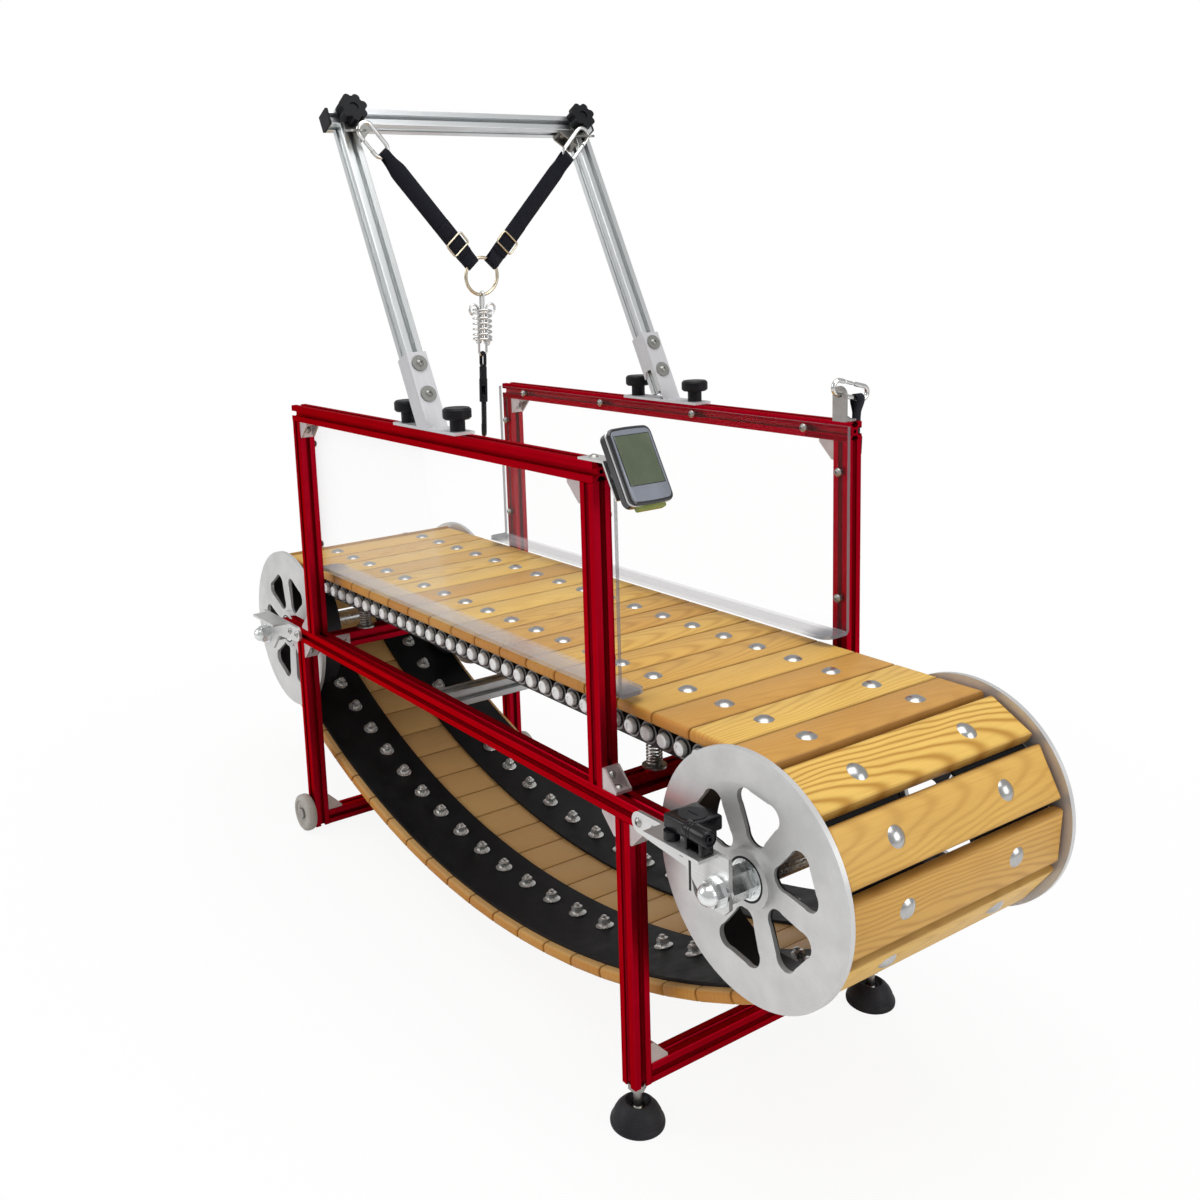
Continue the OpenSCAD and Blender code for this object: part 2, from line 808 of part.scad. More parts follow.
// What is cut from the flange to round its corner; the corner is the origin and the plate lies at -x, +y
module flange_corner()
    linear_extrude(panel_t + 2 * over)
        difference() {
            translate([-panel_r, -over]) square([panel_r + over, panel_r + over]);
            translate([-panel_r, panel_r]) circle(panel_r);
        }

// Axles, their brackets and bearings

module axle_brackets()
    color("lightgray")
        in_frame()
            both_sides()
                for (end = [0, 1])
                    translate([axle_xs[end], outer_y, 0]) mirror([1 - end, 0, 0]) axle_bracket();

// Bracket with its axle at x = 0 and the frame at +x
module axle_bracket() {
    ear_x = axle_plate_l - profile_h;
    difference() {
        union() {
            rotate([90, 0, 0]) translate([0, 0, -axle_plate_t]) linear_extrude(axle_plate_t) {
                polygon([[-axle_end, 0], [-axle_end, plate_chamfer - axle_plate_h],
                         [plate_chamfer - axle_end, -axle_plate_h], [plate_foot, -axle_plate_h],
                         [plate_foot + plate_rise_l, -plate_waist], [ear_x, -profile_w], [ear_x, 0]]);
                translate([ear_x, -profile_h]) circle(profile_h);
            }
            translate([shelf_start, axle_plate_t - over, -shelf_t]) cube([shelf_l, shelf_w + over, shelf_t]);
        }
        translate([0, -over, -axle_drop])
            rotate([-90, 0, 0]) cylinder(d = axle_stud_d + 2 * fit, h = axle_plate_t + 2 * over);
        for (u = ear_bolts)
            translate([axle_plate_l - u, -over, -profile_h])
                rotate([-90, 0, 0]) cylinder(d = screw_d + 2 * fit, h = axle_plate_t + 2 * over);
    }
}

module axles()
    color("silver")
        in_frame()
            for (x = axle_xs)
                translate([x, 0, -axle_drop]) {
                    rotate([90, 0, 0]) cylinder(d = axle_d, h = 2 * outer_y, center = true);
                    both_sides() axle_end_pieces();
                }

module axle_end_pieces() {
    stud_l = axle_plate_t + washer_t + cap_hex_h;
    bearing_y = disc_y + disc_t / 2 - hub_bearing_w;
    translate([0, outer_y, 0]) rotate([-90, 0, 0]) {
        cylinder(d = axle_stud_d, h = stud_l - fit);
        translate([0, 0, axle_plate_t]) washer(washer_d, axle_stud_d, washer_t);
        translate([0, 0, axle_plate_t + washer_t]) cap_nut();
    }
    translate([0, bearing_y, 0])
        rotate([-90, 0, 0]) bearing(hub_bearing_d, axle_d, hub_bearing_w, bearing_lip);
    translate([0, bearing_y + hub_bearing_w, 0])
        rotate([-90, 0, 0])
            difference() {
                hexagon(sleeve_af, outer_y - bearing_y - hub_bearing_w);
                translate([0, 0, -over]) cylinder(d = axle_d + 2 * fit, h = outer_y);
            }
}

module washer(d, hole, t)
    difference() {
        cylinder(d = d, h = t);
        translate([0, 0, -over]) cylinder(d = hole + 2 * fit, h = t + 2 * over);
    }

module cap_nut()
    difference() {
        union() {
            hexagon(cap_af, cap_hex_h);
            translate([0, 0, cap_hex_h]) dome(cap_af, cap_dome_h);
        }
        translate([0, 0, -over]) cylinder(d = axle_stud_d + 2 * fit, h = cap_hex_h + over);
    }

// Bearing with its two races proud of the seal between them
module bearing(d, hole, w, lip) {
    difference() {
        cylinder(d = d, h = w);
        translate([0, 0, -over]) cylinder(d = hole + 2 * fit, h = w + 2 * over);
        for (z = [-over, w - seal_depth])
            translate([0, 0, z])
                difference() {
                    cylinder(d = d - lip, h = seal_depth + over);
                    translate([0, 0, -over]) cylinder(d = hole + lip, h = seal_depth + 3 * over);
                }
    }
}

// Sensor

module sensor_body()
    color([0.12, 0.12, 0.14])
        in_frame() {
            difference() {
                union() {
                    translate([sensor_x + sensor_l / 2, sensor_y, sensor_lift])
                        rounded_plate(sensor_l, sensor_w, panel_t, sensor_h - sensor_lift);
                    translate([sensor_x + sensor_base_x, tie_y, 0])
                        cylinder(d = sensor_base_d, h = sensor_lift + over);
                    translate([sensor_x + sensor_l, lens_y, 0]) {
                        translate([lens_reach - lens_l, 0, lens_z])
                            rotate([0, 90, 0]) cylinder(d = lens_d, h = lens_l);
                        for (x = lens_leg_xs)
                            translate([x, -lens_d / 2, 0]) cube([lens_leg_t, lens_d, lens_z]);
                    }
                }
                translate([sensor_x + sensor_l / 2, sensor_y, sensor_h - sensor_cap_t])
                    cylinder(d = sensor_cap_d + 2 * gap, h = sensor_cap_t + over);
            }
            translate([sensor_x + sensor_l + lens_leg_xs[0], tie_y, -shelf_t - tie_tail])
                cube([tie_w, tie_t, tie_tail]);
        }

module sensor_cap()
    color([0.2, 0.2, 0.22])
        in_frame()
            translate([sensor_x + sensor_l / 2, sensor_y, sensor_h - sensor_cap_t + fit])
                difference() {
                    cylinder(d = sensor_cap_d, h = sensor_cap_t + cap_proud);
                    translate([-sensor_cap_d * cap_slot_share / 2, -sensor_cap_t / 2, sensor_cap_t / 2])
                        cube([sensor_cap_d * cap_slot_share, sensor_cap_t, sensor_cap_t + over]);
                }

// Display

module display_bracket()
    color("silver")
        in_frame()
            difference() {
                translate([0, -side_y + strip_w / 2, 0])
                    rotate([90, 0, 0]) linear_extrude(strip_w) strip_section();
                translate([-strip_back / 2, -side_y, portal_h - over])
                    cylinder(d = screw_d + 2 * fit, h = strip_t + 2 * over);
            }

// Bent strip from the side: the middle of its bend is strip_bend
module strip_section() {
    half = (90 - display_lean) / 2;
    corner = strip_t / 2 / cos(half) * [sin(half), cos(half)];
    side = strip_t / 2 * [cos(display_lean), sin(display_lean)];
    tip = strip_bend + strip_drop * [sin(display_lean), -cos(display_lean)];
    polygon([[-strip_back, portal_h + strip_t], strip_bend + corner, tip + side, tip - side,
             strip_bend - corner, [-strip_back, portal_h]]);
}

// Local axes of the display: x out of its face, z up its face, the strip's face at x = 0
module at_display()
    in_frame()
        translate([strip_bend[0], 0, strip_bend[1]])
            rotate([0, -display_lean, 0])
                translate([strip_t / 2, 0, -display_down]) children();

module on_face(x) translate([x, display_y, 0]) rotate([90, 0, 90]) children();

module display_case()
    color([0.1, 0.1, 0.12])
        at_display() {
            translate([0, -side_y, 0]) rotate([0, 90, 0]) cylinder(d = puck_d, h = puck_t);
            difference() {
                on_face(puck_t) rounded_plate(display_w, display_h, display_r, display_t);
                on_face(puck_t + display_t - face_t)
                    rounded_plate(display_w - 2 * face_inset + 2 * fit, display_h - 2 * face_inset + 2 * fit,
                                  display_r - face_inset, face_t + over);
                on_face(puck_t + display_t / 2 - key_t / 2)
                    translate([0, -display_h / 2, 0])
                        rounded_plate(key_w + 2 * gap, 2 * key_h, key_h / 2, key_t);
            }
        }

module display_screen()
    color([0.4, 0.45, 0.5])
        at_display()
            on_face(puck_t + display_t - face_t)
                rounded_plate(display_w - 2 * face_inset, display_h - 2 * face_inset,
                              display_r - face_inset, face_t);

module display_key()
    color([0.45, 0.5, 0.2])
        at_display()
            on_face(puck_t + display_t / 2 - key_t / 2 + gap)
                translate([0, -display_h / 2 - key_travel / 2, 0])
                    rounded_plate(key_w, 2 * key_h - 2 * key_travel, key_h / 2, key_t - 2 * gap);

// Feet and wheels

module foot_stems()
    color("silver")
        in_frame()
            both_sides()
                translate([leg_xs[0], side_y, leg_end]) {
                    translate([0, 0, -stem_l]) {
                        sphere(d = ball_d);
                        cylinder(d = stem_d, h = stem_l);
                    }
                    translate([0, 0, -stem_nut_h])
                        difference() {
                            hexagon(stem_nut_af, stem_nut_h);
                            translate([0, 0, -over]) cylinder(d = stem_d + 2 * fit, h = stem_nut_h + 2 * over);
                        }
                }

module foot_pad(right)
    color([0.1, 0.1, 0.11])
        on_side(right)
            in_frame()
                translate([leg_xs[0], side_y, leg_end - stem_l])
                    rotate([0, incline, 0])
                        translate([0, 0, -ball_z])
                            difference() {
                                rotate_extrude() pad_section();
                                translate([0, 0, ball_z]) sphere(d = ball_d + 2 * gap);
                                translate([0, 0, ball_z])
                                    cylinder(d1 = stem_d, d2 = pad_mouth_d, h = pad_h - ball_z + over);
                            }

module pad_section()
    polygon([[0, 0], [pad_d / 2, 0], [pad_d / 2, pad_skirt_h], [pad_top_d / 2, pad_h], [0, pad_h]]);

module foot_pad_right() foot_pad(true);

module foot_pad_left() foot_pad(false);

module wheel(right)
    color("gray")
        on_side(right)
            in_frame()
                translate([leg_xs[1], outer_y + wheel_gap, wheel_z])
                    rotate([-90, 0, 0])
                        difference() {
                            rotate_extrude()
                                difference() {
                                    translate([wheel_bolt_d / 2 + fit, 0])
                                        square([wheel_d / 2 - wheel_bolt_d / 2 - fit, wheel_w]);
                                    for (z = [0, wheel_w])
                                        translate([wheel_d / 2, z]) circle(wheel_tyre_r);
                                }
                            translate([0, 0, wheel_w - wheel_recess])
                                cylinder(d = wheel_hub_d, h = wheel_recess + over);
                        }

module wheel_right() wheel(true);

module wheel_left() wheel(false);

// Roller bed

module roller_rail(right)
    color([0.2, 0.2, 0.22])
        in_frame()
            on_side(right)
                difference() {
                    l = roller_lead + roller_rail_end - roller_xs[roller_count - 1] + roller_rail_end;
                    x = roller_xs[roller_count - 1] - roller_rail_end;
                    union() {
                        translate([x, roller_rail_y - roller_rail_t, bed_foot_z])
                            cube([l, roller_rail_t, roller_z + rail_top_over - bed_foot_z]);
                        translate([x, roller_rail_y - roller_foot_w, bed_foot_z])
                            cube([l, roller_foot_w, roller_rail_t]);
                    }
                    for (x = roller_xs)
                        translate([x, roller_rail_y - roller_rail_t - over, roller_z])
                            rotate([-90, 0, 0])
                                cylinder(d = bolt_d + 2 * fit, h = roller_rail_t + 2 * over);
                }

module roller_rail_right() roller_rail(true);

module roller_rail_left() roller_rail(false);

module rollers(right)
    color("gainsboro")
        in_frame()
            on_side(right)
                for (x = roller_xs)
                    translate([x, roller_rail_y, roller_z]) rotate([-90, 0, 0]) roller();

// One bearing on its bolt; z = 0 is the rail's outer face
module roller() {
    translate([0, 0, roller_spacer]) bearing(roller_d, bolt_d, roller_w, bearing_lip);
    washer(bolt_d + bearing_lip, bolt_d, roller_spacer);
    translate([0, 0, roller_spacer + roller_w])
        hex_bolt(bolt_d, hex_head_af, hex_head_h,
                 roller_w + roller_spacer + roller_rail_t + roller_nut_h);
    translate([0, 0, -roller_rail_t - roller_nut_h])
        difference() {
            hexagon(hex_head_af, roller_nut_h);
            translate([0, 0, -over]) cylinder(d = bolt_d + 2 * fit, h = roller_nut_h + 2 * over);
        }
}

module rollers_right() rollers(true);

module rollers_left() rollers(false);

module bed_spring(end, right)
    color("silver")
        in_frame()
            on_side(right)
                translate([bar_xs[end], spring_y, cup_t])
                    coil(bed_spring_d, bed_wire_d, bed_spring_l, bed_curls);

module spring_front_right() bed_spring(0, true);

module spring_front_left() bed_spring(0, false);

module spring_rear_right() bed_spring(1, true);

module spring_rear_left() bed_spring(1, false);

module spring_cups()
    color("silver")
        in_frame()
            both_sides()
                for (x = bar_xs)
                    translate([x, spring_y, 0]) {
                        cylinder(d = cup_d, h = cup_t);
                        cylinder(d = bed_spring_d - 2 * bed_wire_d - 2 * cup_play, h = cup_t + cup_boss_h);
                    }

// Slat belt

// Axes of the slat belt: the middle between the axles, with x along the rails
module at_deck() in_frame() translate([deck_x, 0, -axle_drop]) children();

// Places a piece on every slat: z is the outward normal and z = 0 the belt's middle
module at_slats()
    at_deck()
        for (i = [0 : slat_count - 1]) {
            p = loop_at(slat_start + i * slat_pitch);
            translate([p[0], 0, p[1]]) rotate([0, 90 - p[2], 0]) children();
        }

module slats()
    color("peru")
        at_slats()
            difference() {
                translate([-slat_w / 2, -slat_l / 2, belt_t / 2]) cube([slat_w, slat_l, slat_t]);
                for (s = [-1, 1])
                    translate([0, s * bolt_y, 0]) cylinder(d = bolt_d + 2 * fit, h = belt_t + slat_t + over);
            }

module belts()
    color([0.13, 0.13, 0.14])
        both_sides()
            difference() {
                at_deck()
                    translate([0, belt_y + belt_w / 2, 0])
                        rotate([90, 0, 0])
                            linear_extrude(belt_w)
                                difference() {
                                    polygon(belt_points(belt_t / 2));
                                    polygon(belt_points(belt_chord - belt_t / 2));
                                }
                at_slats()
                    translate([0, bolt_y, -belt_t]) cylinder(d = bolt_d + 2 * fit, h = 2 * belt_t);
            }

module slat_bolts()
    color("silver")
        at_slats()
            for (s = [-1, 1])
                translate([0, s * bolt_y, 0]) {
                    translate([0, 0, belt_t / 2 + slat_t]) dome(bolt_head_d, bolt_head_h);
                    translate([0, 0, -belt_t / 2 - nut_h - bolt_tail])
                        cylinder(d = bolt_d, h = bolt_tail + nut_h + belt_t + slat_t);
                    translate([0, 0, -belt_t / 2 - nut_seat]) mirror([0, 0, 1]) flange_nut();
                }

module flange_nut()
    difference() {
        union() {
            cylinder(d = nut_flange_d, h = nut_flange_h);
            hexagon(nut_af, nut_h);
        }
        translate([0, 0, -over]) cylinder(d = bolt_d + 2 * fit, h = nut_h + 2 * over);
    }

module discs(end)
    color("lightgray")
        in_frame()
            translate([axle_xs[end], 0, -axle_drop])
                both_sides() translate([0, disc_y, 0]) rotate([-90, 0, 0]) rotate(-window_turns[end]) disc();

// Disc with its outer face at z = 0 and the machine at -z
module disc() {
    rim = disc_d / 2;
    flat = rim - disc_edge;
    bore = hub_bearing_d / 2 + fit;
    difference() {
        union() {
            rotate_extrude()
                polygon([[hub_r - over, -disc_t - disc_dish], [flat, -disc_t], [rim, -disc_t],
                         [rim, 0], [flat, 0], [hub_r - over, -disc_dish]]);
            translate([0, 0, disc_t / 2 - hub_wide])
                difference() {
                    cylinder(r = hub_r, h = hub_wide);
                    translate([0, 0, -over]) cylinder(r = bore, h = hub_wide + 2 * over);
                }
        }
        for (k = [0 : window_count - 1])
            rotate(k * 360 / window_count)
                translate([0, 0, -disc_t - disc_dish - over])
                    linear_extrude(disc_t + disc_dish + 2 * over) window();
    }
    translate([0, 0, -disc_t - drum_w])
        difference() {
            cylinder(d = drum_d, h = drum_w);
            translate([0, 0, -over]) cylinder(d = drum_d - 2 * drum_t, h = drum_w + 2 * over);
        }
}

// Rounded triangle that points at the hub
module window() {
    rim = disc_d / 2;
    out = rim * window_out_share;
    tips = [[rim * window_in_share, 0],
            [out * cos(window_half_angle), -out * sin(window_half_angle)],
            [out * cos(window_half_angle), out * sin(window_half_angle)]];
    sides = [for (i = [0 : 2]) let (d = tips[(i + 1) % 3] - tips[i]) [d.y, -d.x] / norm(d)];
    for (p = tips) translate(p) circle(window_r);
    reach = window_r * window_side_share;
    polygon([for (i = [0 : 2]) each [tips[i] + reach * sides[i], tips[(i + 1) % 3] + reach * sides[i]]]);
}

module front_discs() discs(0);

module rear_discs() discs(1);

// Gantry

module gantry_arms()
    color("gainsboro")
        leaning() both_sides() translate([0, side_y, arm_start]) profile_z(gantry_l - arm_start);

module gantry_bar()
    color("gainsboro")
        leaning() translate([0, -gantry_bar_l / 2, gantry_l + profile_h]) profile_y(gantry_bar_l);

module gantry_end_caps()
    color([0.12, 0.12, 0.14])
        leaning()
            both_sides()
                translate([0, gantry_bar_l / 2, gantry_l + profile_h])
                    rotate([-90, 0, 0]) rounded_plate(profile_w, profile_w, profile_edge_r, cap_t);

module gantry_feet()
    color("lightgray")
        both_sides()
            difference() {
                union() {
                    in_frame()
                        translate([-gantry_back - foot_base_l / 2, side_y - plate_w / 2, portal_h + fit])
                            cube([foot_base_l, plate_w, foot_base_t]);
                    intersection() {
                        in_frame()
                            translate([-gantry_back - foot_base_l, side_y - plate_w, portal_h + fit])
                                cube([2 * foot_base_l, 2 * plate_w, 2 * foot_socket_l]);
                        leaning() foot_socket();
                    }
                }
                at_clamps()
                    translate([0, 0, -over]) cylinder(d = stud_d + 2 * fit, h = foot_base_t + 2 * over);
                leaning()
                    at_foot_bolts()
                        translate([0, 0, -foot_sheet_t - over])
                            cylinder(d = screw_d + 2 * fit, h = foot_sheet_t + 2 * over);
            }

// Front plate, outer plate and the shorter inner plate round the arm
module foot_socket() {
    low = -profile_w;
    inner_l = foot_socket_l * inner_plate_share;
    translate([profile_h, side_y - plate_w / 2, low]) cube([foot_sheet_t, plate_w, foot_socket_l - low]);
    translate([-profile_h, side_y + profile_h, low])
        cube([profile_w + foot_sheet_t, foot_sheet_t, foot_socket_l - low]);
    difference() {
        translate([-profile_h, side_y - plate_w / 2, foot_socket_l - inner_l])
            cube([profile_w + foot_sheet_t, foot_sheet_t, inner_l]);
        translate([0, side_y - plate_w / 2 - over, foot_socket_l - inner_l])
            rotate([-90, 0, 0]) cylinder(r = arch_r, h = foot_sheet_t + 2 * over);
    }
}

module at_foot_bolts()
    for (share = foot_bolt_shares)
        translate([profile_h + foot_sheet_t, side_y, foot_socket_l * share]) rotate([0, 90, 0]) children();

// Places of the two clamps of one foot on its base plate's underside
module at_clamps()
    in_frame()
        for (s = [-1, 1]) translate([-gantry_back + s * clamp_pitch / 2, side_y, portal_h]) children();

module gantry_fittings()
    color("silver")
        both_sides() {
            leaning() {
                at_foot_bolts() {
                    washer(foot_washer_d, screw_d, foot_washer_t);
                    translate([0, 0, foot_washer_t]) button_screw(foot_washer_t + foot_sheet_t + screw_grip);
                }
                turned([0, inner_y, gantry_l], [0, -1, 0], [0, 0, -1]) {
                    corner_bracket();
                    bracket_screws();
                }
                difference() {
                    translate([profile_h, star_y - eye_w / 2, gantry_l - eye_drop])
                        cube([eye_t, eye_w, eye_drop + profile_w]);
                    translate([profile_h - over, star_y, gantry_l + profile_h])
                        rotate([0, 90, 0]) cylinder(d = stud_d + 2 * fit, h = eye_t + 2 * over);
                }
            }
            hanging() eye_leg();
            at_clamps()
                translate([0, 0, -slot_lip - fit - tnut_t])
                    difference() {
                        translate([-tnut_l / 2, -tnut_w / 2, 0]) cube([tnut_l, tnut_w, tnut_t]);
                        translate([0, 0, -over]) cylinder(d = stud_d + 2 * fit, h = tnut_t + 2 * over);
                    }
        }

// Level leg of an eye plate, with its hole at the end
module eye_leg()
    translate([0, star_y, -eye_t / 2])
        difference() {
            union() {
                translate([-eye_reach, -eye_w / 2, 0]) cube([eye_reach, eye_w, eye_t]);
                cylinder(d = eye_w, h = eye_t);
            }
            translate([0, 0, -over]) cylinder(r = eye_hole_r, h = eye_t + 2 * over);
        }

module clamp_knob(s, right)
    color([0.1, 0.1, 0.12])
        on_side(right)
            in_frame()
                translate([-gantry_back + s * clamp_pitch / 2, side_y, portal_h + foot_base_t + 2 * fit]) {
                    cylinder(d = clamp_stem_d, h = clamp_h - clamp_head_h);
                    translate([0, 0, clamp_h - clamp_head_h])
                        rotate_extrude()
                            polygon([[0, 0], [clamp_head_d / 2 - clamp_edge, 0], [clamp_head_d / 2, clamp_edge],
                                     [clamp_head_d / 2, clamp_head_h - clamp_edge],
                                     [clamp_head_d / 2 - clamp_edge, clamp_head_h], [0, clamp_head_h]]);
                    translate([0, 0, -foot_base_t - slot_lip - tnut_t])
                        cylinder(d = stud_d, h = foot_base_t + slot_lip + tnut_t);
                }

module clamp_knob_front_right() clamp_knob(1, true);

module clamp_knob_rear_right() clamp_knob(-1, true);

module clamp_knob_front_left() clamp_knob(1, false);

module clamp_knob_rear_left() clamp_knob(-1, false);

module star_knob(right)
    color([0.1, 0.1, 0.12])
        on_side(right)
            leaning()
                translate([profile_h + eye_t + fit, star_y, gantry_l + profile_h])
                    rotate([0, 90, 0]) {
                        cylinder(d = star_stem_d, h = star_stem_h);
                        translate([0, 0, star_stem_h]) star();
                        translate([0, 0, -eye_t - screw_grip]) cylinder(d = stud_d, h = eye_t + screw_grip);
                    }

module star()
    difference() {
        union() {
            cylinder(r = star_d * star_core_share, h = star_h);
            for (k = [0 : star_lobes - 1])
                rotate(k * 360 / star_lobes)
                    translate([star_d / 2 - star_d * star_lobe_share, 0, 0])
                        cylinder(r = star_d * star_lobe_share, h = star_h);
        }
        translate([0, 0, star_h - star_recess]) cylinder(d = star_recess_d, h = star_recess + over);
    }

module star_knob_right() star_knob(true);

module star_knob_left() star_knob(false);

// Harness

// Axes of the left snap link: its eye end about the origin and the ring along -z
module at_link() hanging() translate([0, link_y, 0]) rotate([-link_turn, 0, 0]) children();

module snap_links()
    color("silver")
        both_sides()
            at_link()
                difference() {
                    wire_link(link_r, link_l, link_wire_d);
                    translate([-link_wire_d, link_r - link_wire_d, -gate_at - gate_l])
                        cube([2 * link_wire_d, 2 * link_wire_d, gate_l]);
                }

module link_gate(right)
    color("gainsboro")
        on_side(right)
            at_link() translate([0, link_r, 0]) gate();

// Gate of a snap link: a bar with a round end at its hinge
module gate() {
    hinge = -gate_at - gap - gate_d / 2;
    end = -gate_at - gate_l + gap;
    translate([0, 0, hinge]) sphere(d = gate_d);
    translate([0, 0, end]) cylinder(d = gate_d, h = hinge - end);
}

module link_gate_right() link_gate(true);

module link_gate_left() link_gate(false);

module harness_straps() color([0.1, 0.1, 0.13]) both_sides() at_link() harness_strap();

// Two layers of webbing with a loop round the link and one round the ring
module harness_strap() {
    link_neck = strap_from + strap_taper;
    ring_neck = strap_to - strap_taper;
    strap_loop(strap_from, link_loop_r, link_loop_w, link_neck, false);
    strap_loop(strap_to, ring_loop_r, ring_loop_w, ring_neck, true);
    translate([-strap_t, -strap_w / 2, -ring_neck]) cube([2 * strap_t, strap_w, ring_neck - link_neck]);
}

// Half turn of webbing about the wire at a depth, and its two legs down to the neck
module strap_loop(at, r, w, neck, up) {
    l = abs(neck - at);
    translate([0, 0, -at])
        mirror([0, 0, up ? 1 : 0]) {
            rotate([90, 0, 0])
                intersection() {
                    linear_extrude(w, center = true)
                        difference() {
                            circle(r + strap_t);
                            circle(r);
                        }
                    translate([-r - strap_t, 0, -w]) cube([2 * (r + strap_t), r + strap_t, 2 * w]);
                }
            for (s = [-1, 1])
                rotate([90, 0, 0])
                    linear_extrude(w, center = true)
                        polygon([[s * r, 0], [s * (r + strap_t), 0], [s * strap_t, -l], [0, -l]]);
        }
}

module harness_rings()
    color("silver")
        hanging() {
            translate([0, 0, -ring_drop])
                rotate([0, 90, 0]) rotate_extrude() translate([ring_r, 0]) circle(d = ring_wire_d);
            both_sides() translate([0, link_y, 0]) rotate([-link_turn, 0, 0]) slider();
            upper_yoke();
        }

// Frame of a strap slider on the front of the strap
module slider()
    translate([strap_t, 0, -strap_to + strap_taper + slider_back])
        rotate([90, 0, 90])
            linear_extrude(slider_t)
                difference() {
                    rounded_square(slider_w, slider_l, slider_bar);
                    for (s = [-1, 1])
                        translate([0, s * (slider_l - slider_bar) / 4])
                            square([slider_w - 2 * slider_bar, (slider_l - 3 * slider_bar) / 2], center = true);
                }

// Wire from the ring down through the spring to the plate below it
module upper_yoke() {
    translate([0, 0, yoke_top])
        rotate([90, 0, 0])
            rotate_extrude(angle = 180) translate([yoke_r, 0]) circle(d = yoke_wire_d);
    for (s = [-1, 1])
        translate([s * yoke_r, 0, shock_end]) cylinder(d = yoke_wire_d, h = yoke_top - shock_end);
    translate([0, 0, shock_end - plate_t])
        difference() {
            cylinder(d = shock_d, h = plate_t);
            for (s = [-1, 1])
                translate([0, s * rod_y, -over]) cylinder(d = yoke_wire_d + 2 * gap, h = plate_t + 2 * over);
        }
}

module shock_spring()
    color("silver") hanging() translate([0, 0, shock_end]) coil(shock_d, shock_wire_d, shock_l, shock_curls);

// Wire from the plate above the spring down to the snap hook's eye
module shock_rod()
    color("silver")
        hanging() {
            translate([0, 0, shock_top])
                difference() {
                    cylinder(d = shock_d, h = plate_t);
                    for (s = [-1, 1])
                        translate([s * yoke_r, 0, -over])
                            cylinder(d = yoke_wire_d + 2 * gap, h = plate_t + 2 * over);
                }
            for (s = [-1, 1])
                translate([0, s * rod_y, rod_end]) cylinder(d = yoke_wire_d, h = shock_top - rod_end);
            translate([0, 0, rod_end])
                rotate([0, 0, 90])
                    rotate([90, 0, 0])
                        rotate(180) rotate_extrude(angle = 180) translate([rod_y, 0]) circle(d = yoke_wire_d);
        }

// Eye of the swivel, hung in the bend of the rod
module snap_eye()
    color([0.1, 0.1, 0.12])
        hanging() {
            translate([0, 0, snap_eye_z]) rotate([0, 0, 90]) wire_link(snap_eye_r, snap_eye_l, snap_wire_d);
            translate([0, 0, neck_z]) cylinder(d = neck_d, h = snap_neck);
            translate([0, 0, neck_z - pin_l]) cylinder(d = pin_d, h = pin_l);
        }

// Axes of the snap hook: z = 0 at its top, x towards its thumb
module at_hook() hanging() translate([0, 0, neck_z - fit]) rotate([0, 0, hook_turn]) children();

module snap_hook()
    color([0.1, 0.1, 0.12])
        at_hook()
            difference() {
                union() {
                    translate([0, 0, -head_l]) cylinder(d = neck_d, h = head_l);
                    translate([0, 0, barrel_z]) cylinder(d = barrel_d, h = barrel_l);
                    translate([-2 * hook_r, 0, hook_bend_z]) cylinder(d = hook_wire_d, h = arm_z - hook_bend_z);
                    translate([-2 * hook_r, 0, arm_z]) sphere(d = hook_wire_d);
                    translate([-2 * hook_r, 0, arm_z])
                        rotate([0, 90, 0]) cylinder(d = hook_wire_d, h = 2 * hook_r);
                    translate([-hook_r, 0, hook_bend_z])
                        rotate([-90, 0, 0])
                            rotate_extrude(angle = 180) translate([hook_r, 0]) circle(d = hook_wire_d);
                    translate([0, 0, hook_bend_z]) cylinder(d = hook_wire_d, h = tip_l);
                }
                translate([0, 0, -pin_l - gap]) cylinder(d = pin_d + 2 * fit, h = pin_l + gap + over);
                translate([0, 0, barrel_z - over])
                    cylinder(d = bolt_pin_d + 2 * gap, h = barrel_l - barrel_cap + over);
                translate([0, -thumb_d / 2 - gap, thumb_z - thumb_d / 2 - gap])
                    cube([barrel_d, thumb_d + 2 * gap, bolt_travel + thumb_d + 2 * gap]);
            }

module snap_bolt()
    color([0.1, 0.1, 0.12])
        at_hook() {
            bottom = hook_bend_z + tip_l + gap;
            translate([0, 0, bottom]) cylinder(d = bolt_pin_d, h = thumb_z + thumb_d - bottom);
            translate([0, 0, thumb_z]) rotate([0, 90, 0]) cylinder(d = thumb_d, h = barrel_d / 2 + thumb_reach);
        }

// Corner tether

module corner_eye()
    color("silver")
        in_frame()
            difference() {
                union() {
                    translate([tether_x - tether_w / 2, inner_y, portal_h]) {
                        cube([tether_w, tether_foot, eye_t]);
                        cube([tether_w, eye_t, tether_rise]);
                    }
                    translate([tether_x, inner_y, portal_h + tether_rise])
                        rotate([-90, 0, 0]) cylinder(d = tether_w, h = eye_t);
                }
                translate([tether_x, inner_y - over, portal_h + tether_rise])
                    rotate([-90, 0, 0]) cylinder(r = tether_hole_r, h = eye_t + 2 * over);
                translate([tether_x, side_y, portal_h - over])
                    cylinder(d = screw_d + 2 * fit, h = eye_t + 2 * over);
            }

// Plumb axes about the eye's hole
module at_tether() plumb_at([tether_x, inner_y + eye_t / 2, portal_h + tether_rise]) children();

// Axes of the tether's link: its lower bar runs through the eye
module tether_axes() rotate([90 - tether_tilt, 0, 0]) translate([0, tether_r, tether_in]) children();

